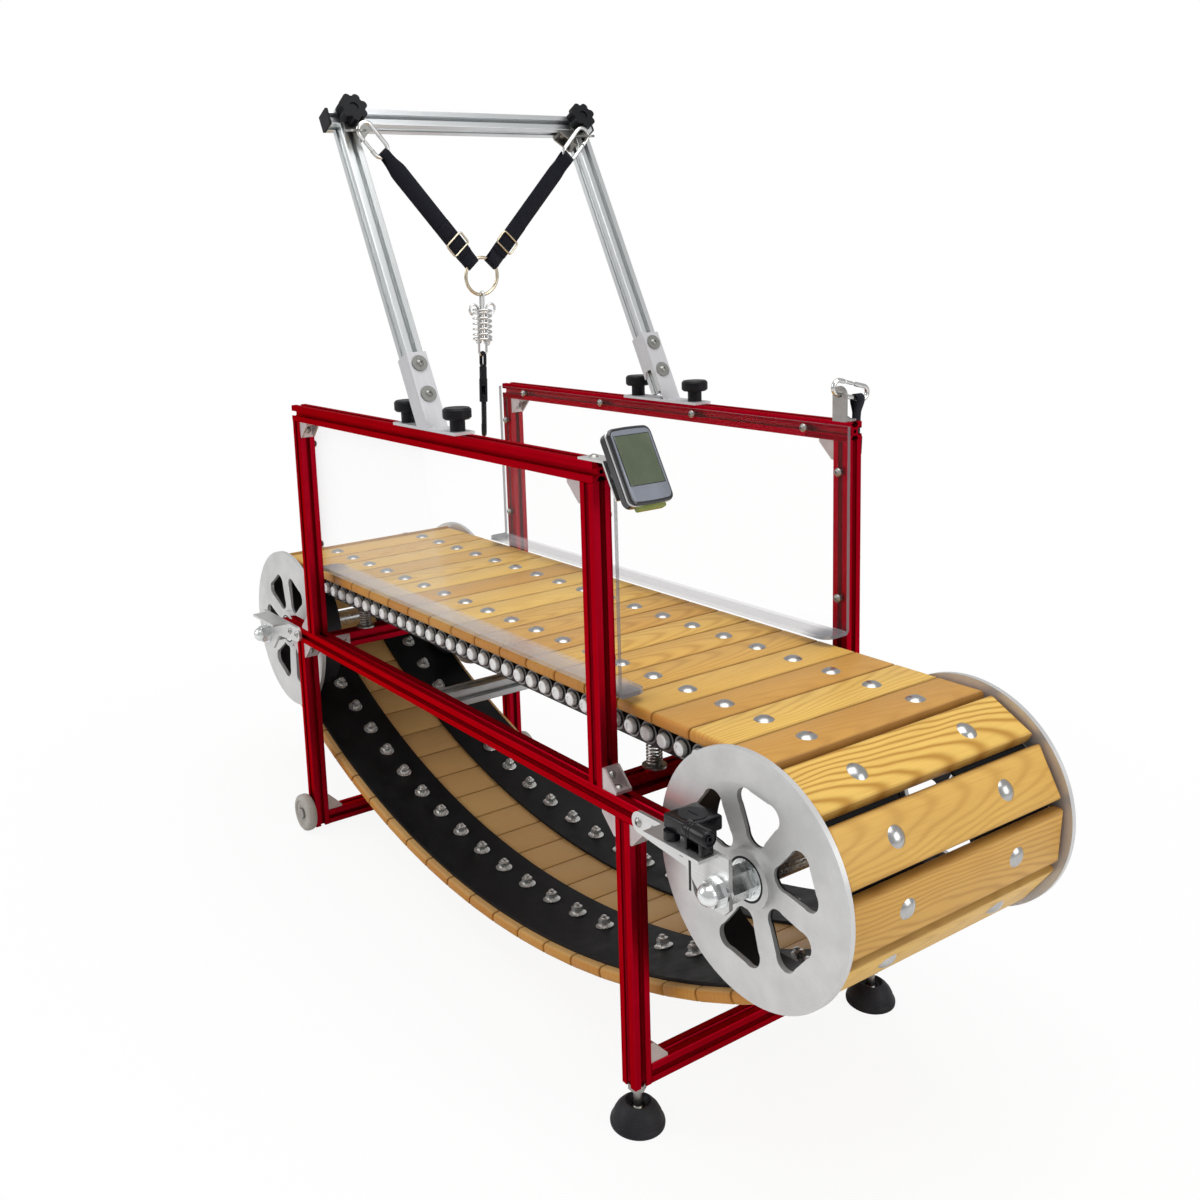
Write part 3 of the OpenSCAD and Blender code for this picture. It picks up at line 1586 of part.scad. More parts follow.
module corner_link()
    color("silver")
        at_tether()
            tether_axes()
                difference() {
                    wire_link(tether_r, tether_l, link_wire_d);
                    translate([-link_wire_d, tether_r - link_wire_d, -gate_at - gate_l])
                        cube([2 * link_wire_d, 2 * link_wire_d, gate_l]);
                }

module corner_gate()
    color("gainsboro")
        at_tether()
            tether_axes() translate([0, tether_r, 0]) gate();

// Strap that hangs from the link outside the handrail, with its buckle
module corner_strap()
    color([0.1, 0.1, 0.12])
        at_tether()
            translate([0, tether_strap_y, tether_bar_z]) {
                strap_loop(0, tether_loop_r, tether_strap_w, strap_taper, false);
                translate([-strap_t, -tether_strap_w / 2, -tether_strap_l])
                    cube([2 * strap_t, tether_strap_w, tether_strap_l - strap_taper]);
                translate([0, 0, -tether_strap_l + tether_buckle.z])
                    difference() {
                        translate([0, 0, -tether_buckle.z / 2]) cube(tether_buckle, center = true);
                        cube([2 * (strap_t + fit), tether_strap_w + 2 * fit, 3 * tether_buckle.z],
                             center = true);
                    }
            }

side_rails();
handrails();
uprights();
cross_bars();
middle_bar();
corner_brackets();
frame_screws();
side_panels();
axle_brackets();
axles();
sensor_body();
sensor_cap();
display_bracket();
display_case();
display_screen();
display_key();
foot_stems();
foot_pad_right();
foot_pad_left();
wheel_right();
wheel_left();
roller_rail_right();
roller_rail_left();
rollers_right();
rollers_left();
spring_front_right();
spring_front_left();
spring_rear_right();
spring_rear_left();
spring_cups();
slats();
belts();
slat_bolts();
front_discs();
rear_discs();
gantry_arms();
gantry_bar();
gantry_end_caps();
gantry_feet();
gantry_fittings();
clamp_knob_front_right();
clamp_knob_rear_right();
clamp_knob_front_left();
clamp_knob_rear_left();
star_knob_right();
star_knob_left();
snap_links();
link_gate_right();
link_gate_left();
harness_straps();
harness_rings();
shock_spring();
shock_rod();
snap_eye();
snap_hook();
snap_bolt();
corner_eye();
corner_link();
corner_gate();
corner_strap();
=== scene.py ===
import math

import bmesh
import bpy
from mathutils import Matrix, Vector


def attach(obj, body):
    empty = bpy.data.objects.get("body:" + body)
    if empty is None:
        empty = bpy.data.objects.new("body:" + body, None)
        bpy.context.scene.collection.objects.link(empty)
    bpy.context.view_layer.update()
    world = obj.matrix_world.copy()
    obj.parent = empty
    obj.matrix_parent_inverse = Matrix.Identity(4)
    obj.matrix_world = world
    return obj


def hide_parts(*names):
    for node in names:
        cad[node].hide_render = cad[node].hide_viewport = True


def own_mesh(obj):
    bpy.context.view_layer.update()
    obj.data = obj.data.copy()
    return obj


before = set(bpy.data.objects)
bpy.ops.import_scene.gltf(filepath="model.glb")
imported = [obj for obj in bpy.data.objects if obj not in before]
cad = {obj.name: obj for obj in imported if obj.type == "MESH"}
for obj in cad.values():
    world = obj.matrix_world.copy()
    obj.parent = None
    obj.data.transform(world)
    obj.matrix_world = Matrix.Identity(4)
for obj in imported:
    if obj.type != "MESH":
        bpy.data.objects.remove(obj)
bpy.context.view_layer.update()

# Camera: it stands ahead of the right front corner, a little above the handrails.
# Its place, focal length and shift come from points of the frame measured in the photograph.
camera_data = bpy.data.cameras.new("photo_camera")
camera_data.sensor_width = 36.0
camera_data.lens = 37.865
camera_data.shift_x = 0.05253
camera_data.shift_y = -0.09728
camera = bpy.data.objects.new("photo_camera", camera_data)
camera.location = (1.139193, -0.808509, 0.847310)
camera.rotation_euler = (1.345515, 0.005988, 0.970905)
scene = bpy.context.scene
scene.collection.objects.link(camera)
scene.camera = camera
scene.view_settings.view_transform = "Standard"


# Studio: a pale floor that runs out to white, a white surround and three large soft lamps.
# Floor and surround are white for the eye and through glass, and dimmer for what they light.
def add_node(tree, kind, inputs=None, **settings):
    """A node with its settings; an input takes a value, or another node's output to link."""
    made = tree.nodes.new(kind)
    for key, value in settings.items():
        setattr(made, key, value)
    for key, value in (inputs or {}).items():
        if isinstance(value, bpy.types.NodeSocket):
            tree.links.new(value, made.inputs[key])
        else:
            made.inputs[key].default_value = value
    return made


def math_node(tree, operation, *values):
    return add_node(tree, "ShaderNodeMath", dict(enumerate(values)), operation=operation).outputs[0]


def ramp(tree, value, low, high, to_low=0.0, to_high=1.0, **settings):
    """A value between low and high, spread between two others and held at them beyond."""
    ends = {"From Min": low, "From Max": high, "To Min": to_low, "To Max": to_high}
    return add_node(tree, "ShaderNodeMapRange", {"Value": value, **ends}, **settings).outputs[0]


def object_place(tree):
    return add_node(tree, "ShaderNodeTexCoord").outputs["Object"]


def start_material(name, sockets):
    """A material with its plain sockets set; returns it with its tree and shader."""
    made = bpy.data.materials.new(name)
    made.use_nodes = True
    shader = made.node_tree.nodes["Principled BSDF"]
    for key, value in sockets.items():
        shader.inputs[key].default_value = value
    return made, made.node_tree, shader


def seen_rays(tree):
    """1 for rays that look at the studio directly or through glass."""
    path = add_node(tree, "ShaderNodeLightPath").outputs
    return math_node(tree, "MAXIMUM", path["Is Camera Ray"], path["Is Transmission Ray"])


white, surround_dim = (1, 1, 1, 1), 0.54
world = bpy.data.worlds.new("studio")
scene.world = world
world.use_nodes = True
world_tree = world.node_tree
surround = world_tree.nodes["Background"]
surround.inputs["Color"].default_value = white
world_tree.links.new(math_node(world_tree, "MULTIPLY_ADD", seen_rays(world_tree), 1 - surround_dim,
                               surround_dim), surround.inputs["Strength"])

floor_half, fade_from, fade_to, near_glow = 14.0, 0.55, 1.25, 0.90
floor_corners = [(x * floor_half, y * floor_half, 0) for x, y in ((-1, -1), (1, -1), (1, 1), (-1, 1))]
floor_mesh = bpy.data.meshes.new("floor")
floor_mesh.from_pydata(floor_corners, [], [(0, 1, 2, 3)])
floor = bpy.data.objects.new("floor", floor_mesh)
scene.collection.objects.link(floor)
floor_paint, floor_tree, floor_shader = start_material(
    "floor_paint", {"Base Color": (0.86, 0.86, 0.86, 1), "Roughness": 0.9})
floor_glow = add_node(floor_tree, "ShaderNodeEmission", {"Color": white, "Strength": 1.0})
floor_far = add_node(floor_tree, "ShaderNodeVectorMath", {0: object_place(floor_tree)},
                     operation="LENGTH").outputs["Value"]
floor_fade = ramp(floor_tree, floor_far, fade_from, fade_to, near_glow, 1.0,
                  interpolation_type="SMOOTHSTEP")
floor_share = math_node(floor_tree, "MULTIPLY", seen_rays(floor_tree), floor_fade)
floor_mix = add_node(floor_tree, "ShaderNodeMixShader",
                     {0: floor_share, 1: floor_shader.outputs[0], 2: floor_glow.outputs[0]})
floor_tree.links.new(floor_mix.outputs[0], floor_tree.nodes["Material Output"].inputs["Surface"])
floor_mesh.materials.append(floor_paint)

lamp_aim = Vector((0, 0, 0.4))
for lamp_name, spot, size, power in (("top_softbox", (0.3, -0.2, 2.9), 2.2, 42.0),
                                     ("left_softbox", (-1.6, -2.4, 1.7), 1.6, 26.0),
                                     ("front_softbox", (2.6, 0.9, 1.5), 1.6, 24.0)):
    lamp = bpy.data.lights.new(lamp_name, "AREA")
    lamp.shape = "SQUARE"
    lamp.size = size
    lamp.energy = power
    lamp_object = bpy.data.objects.new(lamp_name, lamp)
    lamp_object.location = spot
    lamp_object.rotation_euler = (lamp_aim - Vector(spot)).to_track_quat("-Z", "Y").to_euler()
    scene.collection.objects.link(lamp_object)

# Red frame: rails, handrails, posts, legs and cross bars of 20 mm slotted aluminium profile.
# They are extruded, anodised red and satin, with faint drawn lines along each bar.
slope = math.radians(3.2)
rail_frame = Matrix.Translation((0.303792, 0, 0.322882)) @ Matrix.Rotation(-slope, 4, "Y")


def noise_group(name, scale, detail, rough, low, high):
    """A shader group that puts out noise as a height, and as a tone cut between two levels."""
    made = bpy.data.node_groups.new(name, "ShaderNodeTree")
    sockets = made.interface
    sockets.new_socket("Vector", in_out="INPUT", socket_type="NodeSocketVector")
    sockets.new_socket("Scale", in_out="INPUT", socket_type="NodeSocketFloat").default_value = scale
    for label in ("Tone", "Height"):
        sockets.new_socket(label, in_out="OUTPUT", socket_type="NodeSocketFloat")
    given, result = made.nodes.new("NodeGroupInput"), made.nodes.new("NodeGroupOutput")
    noise = add_node(made, "ShaderNodeTexNoise",
                     {"Vector": given.outputs["Vector"], "Scale": given.outputs["Scale"],
                      "Detail": detail, "Roughness": rough}).outputs["Fac"]
    made.links.new(ramp(made, noise, low, high), result.inputs["Tone"])
    made.links.new(noise, result.inputs["Height"])
    return made


# Lines left by the die or the brush, whose vector comes stretched along the piece,
# and smudges and wear from handling, in patches of a few centimetres
drawn_lines = noise_group("drawn_lines", 1.0, 4.0, 0.65, 0.3, 0.7)
handling = noise_group("handling_marks", 28.0, 5.0, 0.6, 0.35, 0.68)


def use_group(tree, group, **inputs):
    return add_node(tree, "ShaderNodeGroup", inputs, node_tree=group).outputs


def mixed_tone(tree, marks, fine, marks_share):
    """Handling marks over a fine pattern."""
    return math_node(tree, "MULTIPLY_ADD", marks["Tone"], marks_share,
                     math_node(tree, "MULTIPLY", fine["Tone"], 1 - marks_share))


def blend_colours(tree, share, first, second):
    """A colour between two, each of them red, green and blue or another node's output."""
    first, second = ((*c, 1) if isinstance(c, tuple) else c for c in (first, second))
    return add_node(tree, "ShaderNodeMix", {0: share, 6: first, 7: second}, data_type="RGBA").outputs[2]


def paint(tree, shader, colour, rough):
    tree.links.new(colour, shader.inputs["Base Color"])
    tree.links.new(rough, shader.inputs["Roughness"])


def raise_surface(tree, shader, height, depth, strength):
    bump = add_node(tree, "ShaderNodeBump", {"Strength": strength, "Distance": depth, "Height": height})
    tree.links.new(bump.outputs[0], shader.inputs["Normal"])


def drawn_profile(name, dark, light, along, turn, metal, smooth, sockets=None):
    """Extruded bar: two tones in fine lines along one axis, roughness that varies with them."""
    made, tree, shader = start_material(name, {"Metallic": metal, **(sockets or {})})
    line_width, line_length = 0.0013, 0.35
    where, line_size = object_place(tree), [line_width] * 3
    line_size[along] = line_length
    stretched = add_node(tree, "ShaderNodeMapping",
                         {"Vector": where, "Rotation": (0, turn, 0), "Scale": line_size},
                         vector_type="TEXTURE").outputs[0]
    lines = use_group(tree, drawn_lines, Vector=stretched)
    tone = mixed_tone(tree, use_group(tree, handling, Vector=where), lines, 0.35)
    paint(tree, shader, blend_colours(tree, tone, dark, light),
          ramp(tree, tone, 0.0, 1.0, smooth + 0.08, smooth - 0.04))
    raise_surface(tree, shader, lines["Height"], 0.00012, 0.5)
    return made


def dress(node, material):
    """Gives a node of the frame its finish."""
    cad[node].data.materials.clear()
    cad[node].data.materials.append(material)


red_dark, red_light = (0.30, 0.001, 0.010), (0.43, 0.003, 0.018)
red_gloss = {"Specular IOR Level": 0.0, "Specular Tint": (1.0, 0.12, 0.18, 1)}
for node, along in (("side_rails", 0), ("handrails", 0), ("uprights", 2), ("cross_bars", 1)):
    dress(node, drawn_profile("red_anodised_" + node, red_dark, red_light, along, -slope, 0.95, 0.38,
                              red_gloss))

# Middle bar: one cross bar under the deck of the same profile, left silver.
# It is bolted between the two rails.
silver_dark, silver_light = (0.58, 0.60, 0.61), (0.74, 0.76, 0.77)
dress("middle_bar", drawn_profile("silver_cross_bar", silver_dark, silver_light, 1, -slope, 1.0, 0.34))

# Corner brackets and screws: small die-cast angles, and zinc-plated button screws in their holes.
# The castings are fine-grained and dull, and the screws are brighter.
cast_grain = noise_group("moulded_grain", 900.0, 3.0, 0.5, 0.35, 0.65)


def grained(name, dark, light, metal, smooth, size=900.0, depth=0.00008, sockets=None):
    """Cast, moulded or plated surface: a fine grain in tone and height, and handling marks."""
    made, tree, shader = start_material(name, {"Metallic": metal, **(sockets or {})})
    where = object_place(tree)
    grain = use_group(tree, cast_grain, Vector=where, Scale=size)
    tone = mixed_tone(tree, use_group(tree, handling, Vector=where, Scale=45.0), grain, 0.55)
    paint(tree, shader, blend_colours(tree, tone, dark, light),
          ramp(tree, tone, 0.0, 1.0, smooth + 0.07, smooth - 0.05))
    raise_surface(tree, shader, grain["Height"], depth, 0.5)
    return made


def plated(name, dark, light, metal, smooth, depth=0.00002):
    """Plated metal: a very fine and shallow grain."""
    return grained(name, dark, light, metal, smooth, 1500.0, depth)


zinc = plated("zinc_plate", (0.30, 0.29, 0.28), (0.46, 0.45, 0.43), 1.0, 0.34, 0.00003)
dress("corner_brackets", grained("cast_alloy", (0.44, 0.37, 0.37), (0.60, 0.53, 0.52), 0.7, 0.42))
dress("frame_screws", zinc)

# Side panels: clear 4 mm sheet, bent at its foot into a flange beside the deck.
# It is screwed to the inside of the handrails and posts, and only its edges and gloss show; towards grazing
# angles a painted white reflection adds to its own gloss.
sheet_middle, sheet_half, sheet_end = -0.0202, 0.3225, (0.040, 0.016)
clear_sheet, sheet_tree, sheet_shader = start_material(
    "clear_sheet", {"Specular IOR Level": 0.4, "IOR": 1.49})


def axes_of(tree, vector):
    return add_node(tree, "ShaderNodeSeparateXYZ", {0: vector}).outputs


def size_of(tree, value):
    return math_node(tree, "ABSOLUTE", value)


# 1 on the upright sheet and 0 on its flange, and 1 near both ends of the panel
sheet_normal = add_node(sheet_tree, "ShaderNodeNewGeometry").outputs["Normal"]
sheet_flat = ramp(sheet_tree, size_of(sheet_tree, axes_of(sheet_tree, sheet_normal)["Y"]), 0.25, 0.85)
sheet_place = object_place(sheet_tree)
from_middle = math_node(sheet_tree, "SUBTRACT", axes_of(sheet_tree, sheet_place)["X"], sheet_middle)
sheet_ends = ramp(sheet_tree, size_of(sheet_tree, from_middle), *(sheet_half - end for end in sheet_end))
flange_grey = blend_colours(sheet_tree, sheet_ends, (0.50, 0.48, 0.49), (0.17, 0.17, 0.185))
sheet_haze = use_group(sheet_tree, handling, Vector=sheet_place, Scale=9.0)
paint(sheet_tree, sheet_shader, blend_colours(sheet_tree, sheet_flat, flange_grey, (0.93, 0.94, 0.94)),
      ramp(sheet_tree, sheet_haze["Tone"], 0.0, 1.0, 0.06, 0.12))
flange_alpha = ramp(sheet_tree, sheet_ends, 0.0, 1.0, 0.30, 0.70)
sheet_alpha = ramp(sheet_tree, sheet_flat, 0.0, 1.0, flange_alpha, 0.01)
# Painted reflection: the white sheet turns more opaque towards grazing angles
sheet_painted_glare = add_node(sheet_tree, "ShaderNodeLayerWeight", {"Blend": 0.12}).outputs["Fresnel"]
sheet_tree.links.new(math_node(sheet_tree, "MULTIPLY_ADD", sheet_painted_glare, 0.16, sheet_alpha),
                     sheet_shader.inputs["Alpha"])
dress("side_panels", clear_sheet)

# Axle brackets and axles: bent aluminium plates that carry the ends of two steel rods.
# Hexagon sleeves, washers and cap nuts hold the rods, and the hubs run on bearings.
dress("axle_brackets", drawn_profile("brushed_plate", (0.58, 0.58, 0.58), (0.74, 0.74, 0.73), 0, -slope,
                                     0.95, 0.36))
dress("axles", grained("bright_zinc", (0.72, 0.74, 0.74), (0.84, 0.86, 0.86), 1.0, 0.25, 160.0, 0.00001))

# Speed sensor on the right front bracket: a moulded box with a lens tube along its outer side.
# A round base and two legs stand on the bracket, and a cable tie through the bracket holds it.
matt_black = {"Specular IOR Level": 0.16}
black_moulded = grained("black_moulded", (0.004, 0.004, 0.005), (0.009, 0.009, 0.011), 0.0, 0.20, 1400.0,
                        0.00002, {"Specular IOR Level": 0.30})


def as_mesh(name, bm):
    bmesh.ops.remove_doubles(bm, verts=bm.verts, dist=1e-6)
    bmesh.ops.recalc_face_normals(bm, faces=bm.faces)
    mesh = bpy.data.meshes.new(name)
    bm.to_mesh(mesh)
    bm.free()
    return mesh


def shade(mesh, smooth_below):
    """Smooth shading with sharp edges above an angle in degrees."""
    mesh.polygons.foreach_set("use_smooth", [True] * len(mesh.polygons))
    mesh.set_sharp_from_angle(angle=math.radians(smooth_below))


def new_piece(name, shape, place, material, body, smooth_below=38.0):
    """A finished piece: its place goes into the mesh, and it rides on a body."""
    mesh = as_mesh(name, shape) if isinstance(shape, bmesh.types.BMesh) else shape
    mesh.transform(place)
    mesh.materials.clear()
    mesh.materials.append(material)
    shade(mesh, smooth_below)
    made = bpy.data.objects.new(name, mesh)
    scene.collection.objects.link(made)
    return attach(made, body)


def block(bm, low, high, edge, steps=3):
    """A box from corner to corner with rounded edges, added to a mesh in the making."""
    part = bmesh.ops.create_cube(bm, size=1.0)
    for v in part["verts"]:
        v.co = Vector([c * (h - l) + (h + l) / 2 for c, l, h in zip(v.co, low, high)])
    edges = list({e for v in part["verts"] for e in v.link_edges})
    bmesh.ops.bevel(bm, geom=edges, offset=edge, segments=steps, profile=0.6, affect="EDGES")


def lathe(bm, profile, steps, place=None):
    """A turned shape about z from (radius, height) points, added to a mesh in the making."""
    rings = []
    for radius, height in profile:
        ring = []
        for k in range(steps if radius > 0 else 1):
            angle = 2 * math.pi * k / steps
            spot = Vector((radius * math.cos(angle), radius * math.sin(angle), height))
            ring.append(bm.verts.new(place @ spot if place else spot))
        rings.append(ring)
    pairs = list(zip(rings, rings[1:]))
    if len(rings[0]) > 1 and len(rings[-1]) > 1:
        pairs.append((rings[-1], rings[0]))
    for low, high in pairs:
        for k in range(steps):
            corners = [low[k % len(low)], low[(k + 1) % len(low)],
                       high[(k + 1) % len(high)], high[k % len(high)]]
            unique = list(dict.fromkeys(corners))
            if len(unique) > 2:
                bm.faces.new(unique)


along_x = Matrix.Rotation(math.radians(90), 4, "Y")
base_profile = [(0, 0.0002), (0.0066, 0.0002), (0.0070, 0.0006), (0.0070, 0.0075), (0, 0.0075)]
lens_tube = [(0, 0), (0.0062, 0), (0.0072, 0.0006), (0.0075, 0.0016), (0.0075, 0.0060), (0.0069, 0.0064),
             (0.0069, 0.0072), (0.0075, 0.0076), (0.0075, 0.0090), (0.0069, 0.0094), (0.0069, 0.0102),
             (0.0075, 0.0106), (0.0075, 0.0262), (0.0070, 0.0276), (0.0061, 0.0282), (0.0058, 0.0270),
             (0.0034, 0.0264), (0.0030, 0.0272), (0.0019, 0.0275), (0.0015, 0.0252), (0, 0.0250)]
# The box with its round base and lens tube, the two legs on their plate, and the cable tie's head and band
bm = bmesh.new()
block(bm, (0.105, -0.186, 0.0070), (0.139, -0.150, 0.0200), 0.0026)
lathe(bm, base_profile, 36, Matrix.Translation((0.114, -0.184, 0)))
lathe(bm, lens_tube, 40, Matrix.Translation((0.1308, -0.182, 0.0150)) @ along_x)
for leg_x, thick in ((0.1340, 0.0035), (0.1515, 0.0040)):
    block(bm, (leg_x, -0.1885, 0.0002), (leg_x + thick, -0.1755, 0.0110), 0.0008)
block(bm, (0.1340, -0.1875, 0.0002), (0.1555, -0.1765, 0.0014), 0.0005)
block(bm, (0.1340, -0.1936, -0.0042), (0.1380, -0.1800, -0.0031), 0.0003, 1)
block(bm, (0.1350, -0.1850, -0.0370), (0.1375, -0.1838, -0.0030), 0.0004, 1)
sensor = new_piece("sensor_housing", bm, rail_frame, black_moulded, "base")
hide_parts("sensor_body")
dress("sensor_cap", grained("cap_plastic", (0.008, 0.008, 0.010), (0.018, 0.018, 0.021), 0.0, 0.42,
                            sockets=matt_black))

# Display: a bicycle computer on a bent aluminium strip over the right front corner.
# A glossy black case with a silver band, a grey-blue face plate and an olive glass window.
dress("display_bracket", drawn_profile("bent_strip", (0.58, 0.57, 0.56), (0.74, 0.73, 0.71), 0, -slope,
                                       0.95, 0.4))
display_lean = math.radians(29)
display_frame = (rail_frame @ Matrix.Translation((0.015, 0, 0.301)) @ Matrix.Rotation(-display_lean, 4, "Y")
                 @ Matrix.Translation((0.001, -0.150, -0.014)))
gloss_black = grained("gloss_black", (0.006, 0.006, 0.008), (0.011, 0.011, 0.014), 0.0, 0.16, 700.0,
                      0.00002, {"Coat Weight": 0.4, "Coat Roughness": 0.06})
silver_band = grained("silver_band", (0.55, 0.55, 0.56), (0.68, 0.68, 0.69), 0.9, 0.3, 1200.0, 0.00002)
grey_blue = grained("grey_blue_face", (0.16, 0.175, 0.21), (0.22, 0.24, 0.28), 0.25, 0.30, 1600.0, 0.00002)
olive_glass = grained("olive_glass", (0.058, 0.076, 0.042), (0.080, 0.102, 0.058), 0.0, 0.14, 120.0,
                      0.00001, {"Coat Weight": 0.5, "Coat Roughness": 0.04})
corner_signs = ((1, 1, 0), (-1, 1, 90), (-1, -1, 180), (1, -1, 270))


def slab(bm, back, front, width, height, corner, bulge, edge, z=0.0, steps=8):
    """A plate from back to front with round corners; its top and bottom edges may bulge outwards."""
    outline = []
    for sx, sz, start in corner_signs:
        for k in range(steps + 1):
            angle = math.radians(start + 90 * k / steps)
            outline.append((sx * (width / 2 - corner) + corner * math.cos(angle),
                            sz * (height / 2 - corner) + corner * math.sin(angle)))
        if sx == sz:
            for k in range(1, 10):
                outline.append((sx * (1 - k / 5) * (width / 2 - corner), sz * height / 2))
    outline = [(a, b + math.copysign(bulge * (1 - (2 * a / width) ** 2), b) * min(1, abs(b) * 2.2 / height))
               for a, b in outline]
    rings = []
    for x, inset in ((back, edge), (back + edge, 0), (front - edge, 0), (front, edge)):
        share_y, share_z = 1 - 2 * inset / width, 1 - 2 * inset / height
        rings.append([bm.verts.new((x, a * share_y, z + b * share_z)) for a, b in outline])
    for low, high in zip(rings, rings[1:]):
        for k in range(len(outline)):
            bm.faces.new([low[k], low[k - 1], high[k - 1], high[k]])
    bm.faces.new(rings[0])
    bm.faces.new(list(reversed(rings[-1])))


def display_plate(name, material, *sizes, z=0.0):
    bm = bmesh.new()
    slab(bm, *sizes, z=z)
    return new_piece(name, bm, display_frame, material, "base")


case_front, window_z = 0.023, 0.0046
holder_round = [(0, 0), (0.0088, 0), (0.0090, 0.0006), (0.0090, 0.0075), (0.0078, 0.0086), (0, 0.0086)]
bm = bmesh.new()
slab(bm, 0.008, 0.0178, 0.0472, 0.0676, 0.0064, 0.0008, 0.0018)
slab(bm, 0.0188, case_front - 0.0004, 0.0466, 0.0686, 0.0062, 0.0010, 0.0012)
lathe(bm, holder_round, 36, Matrix.Translation((0.0, -0.010, 0)) @ along_x)
slab(bm, 0.0012, 0.0085, 0.0330, 0.0420, 0.0050, 0.0, 0.0010)
case = new_piece("display_shell", bm, display_frame, gloss_black, "base")
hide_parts("display_case")
band = display_plate("display_band", silver_band, 0.0172, 0.0194, 0.0478, 0.0698, 0.0066, 0.0, 0.0005)
face = display_plate("display_face", grey_blue, 0.0215, case_front - 0.0001, 0.0422, 0.0630, 0.0046,
                     0.0010, 0.0002)
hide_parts("display_screen")
window_rim = display_plate("display_window_rim", gloss_black, 0.0217, case_front + 0.0001, 0.0386, 0.0464,
                           0.0008, 0.0, 0.0003, z=window_z)
window = display_plate("display_window", olive_glass, 0.0218, case_front + 0.00025, 0.0370, 0.0448,
                       0.0006, 0.0, 0.0002, z=window_z)
dress("display_key", grained("olive_key", (0.16, 0.19, 0.030), (0.24, 0.27, 0.050), 0.0, 0.42))

# Feet and wheels: levelling feet under the front legs, and fixed wheels on the rear legs.
# The pads are black moulded domes on steel ball stems; the wheels are solid grey rubber.
dress("foot_stems", zinc)
sides = (("right", -1), ("left", 1))
foot_x, leg_y = 0.349106, 0.160
pad_black = grained("pad_black", (0.012, 0.012, 0.014), (0.024, 0.024, 0.028), 0.0, 0.46, 700.0,
                    sockets=matt_black)
pad_profile = [(0, 0.0004), (0.0245, 0), (0.0258, 0.0010), (0.0260, 0.0030), (0.0256, 0.0050),
               (0.0244, 0.0062), (0.0240, 0.0072), (0.0228, 0.0112), (0.0205, 0.0156), (0.0172, 0.0196),
               (0.0140, 0.0224), (0.0122, 0.0236), (0.0112, 0.0234), (0.0098, 0.0206), (0.0080, 0.0192),
               (0.0062, 0.0190), (0.0064, 0.0176), (0.0069, 0.0140), (0.0056, 0.0096), (0.0030, 0.0074),
               (0, 0.0070)]


def turned(profile, steps, place=None):
    """A mesh in the making with one turned shape."""
    bm = bmesh.new()
    lathe(bm, profile, steps, place)
    return bm


for side, sign in sides:
    pad = new_piece("foot_dome_" + side, turned(pad_profile, 64),
                    Matrix.Translation((foot_x, sign * leg_y, 0)), pad_black, "foot_pad_" + side)
    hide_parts("foot_pad_" + side)

wheel_x, wheel_y, wheel_z = -0.668, 0.172, -0.261
wheel_grey = grained("wheel_grey", (0.33, 0.31, 0.275), (0.44, 0.42, 0.38), 0.0, 0.55, 500.0)
wheel_profile = [(0.0041, 0.0004), (0.0200, 0), (0.0218, 0.0006), (0.0240, 0.0022), (0.0250, 0.0052),
                 (0.0250, 0.0098), (0.0240, 0.0128), (0.0218, 0.0144), (0.0190, 0.0150), (0.0175, 0.0146),
                 (0.0165, 0.0128), (0.0115, 0.0124), (0.0108, 0.0126), (0.0104, 0.0118), (0.0041, 0.0118)]
for side, sign in sides:
    place = (rail_frame @ Matrix.Translation((wheel_x, sign * wheel_y, wheel_z))
             @ Matrix.Rotation(-sign * math.radians(90), 4, "X"))
    wheel = new_piece("wheel_tyre_" + side, turned(wheel_profile, 64), place, wheel_grey, "wheel_" + side)
    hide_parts("wheel_" + side)

# Roller bed: two steel angles on springs, each with a row of small bearings that carry the belt.
# Every bearing is a steel ring with a dark seal, held by a bolt with a low round head.
dark_rail = grained("dark_rail", (0.014, 0.014, 0.015), (0.030, 0.030, 0.032), 0.3, 0.42)
for side, _ in sides:
    dress("roller_rail_" + side, dark_rail)
dress("spring_cups", zinc)


def geometry_tree(name, sizes):
    """A tree with named inputs for sizes that ends in Realize Instances and Set Material."""
    made = bpy.data.node_groups.new(name, "GeometryNodeTree")
    inputs = {"Geometry": "Geometry", **sizes, "Material": "Material"}
    for label, kind in inputs.items():
        made.interface.new_socket(label, in_out="INPUT", socket_type="NodeSocket" + kind)
    made.interface.new_socket("Geometry", in_out="OUTPUT", socket_type="NodeSocketGeometry")
    given, result = made.nodes.new("NodeGroupInput"), made.nodes.new("NodeGroupOutput")
    realised = add_node(made, "GeometryNodeRealizeInstances")
    painted = add_node(made, "GeometryNodeSetMaterial",
                       {"Geometry": realised.outputs[0], "Material": given.outputs["Material"]})
    made.links.new(painted.outputs[0], result.inputs[0])
    return made, given.outputs, realised.inputs["Geometry"]


def grow(name, tree, start_mesh, values):
    """Runs a geometry tree on a start mesh and returns the plain mesh it makes."""
    holder = bpy.data.objects.new(name, start_mesh)
    scene.collection.objects.link(holder)
    modifier = holder.modifiers.new(name, "NODES")
    modifier.node_group = tree
    for item in tree.interface.items_tree:
        if item.item_type == "SOCKET" and item.in_out == "INPUT" and item.name in values:
            modifier[item.identifier] = values[item.name]
    bpy.context.view_layer.update()
    depsgraph = bpy.context.evaluated_depsgraph_get()
    made = bpy.data.meshes.new_from_object(holder.evaluated_get(depsgraph))
    bpy.data.objects.remove(holder)
    return made


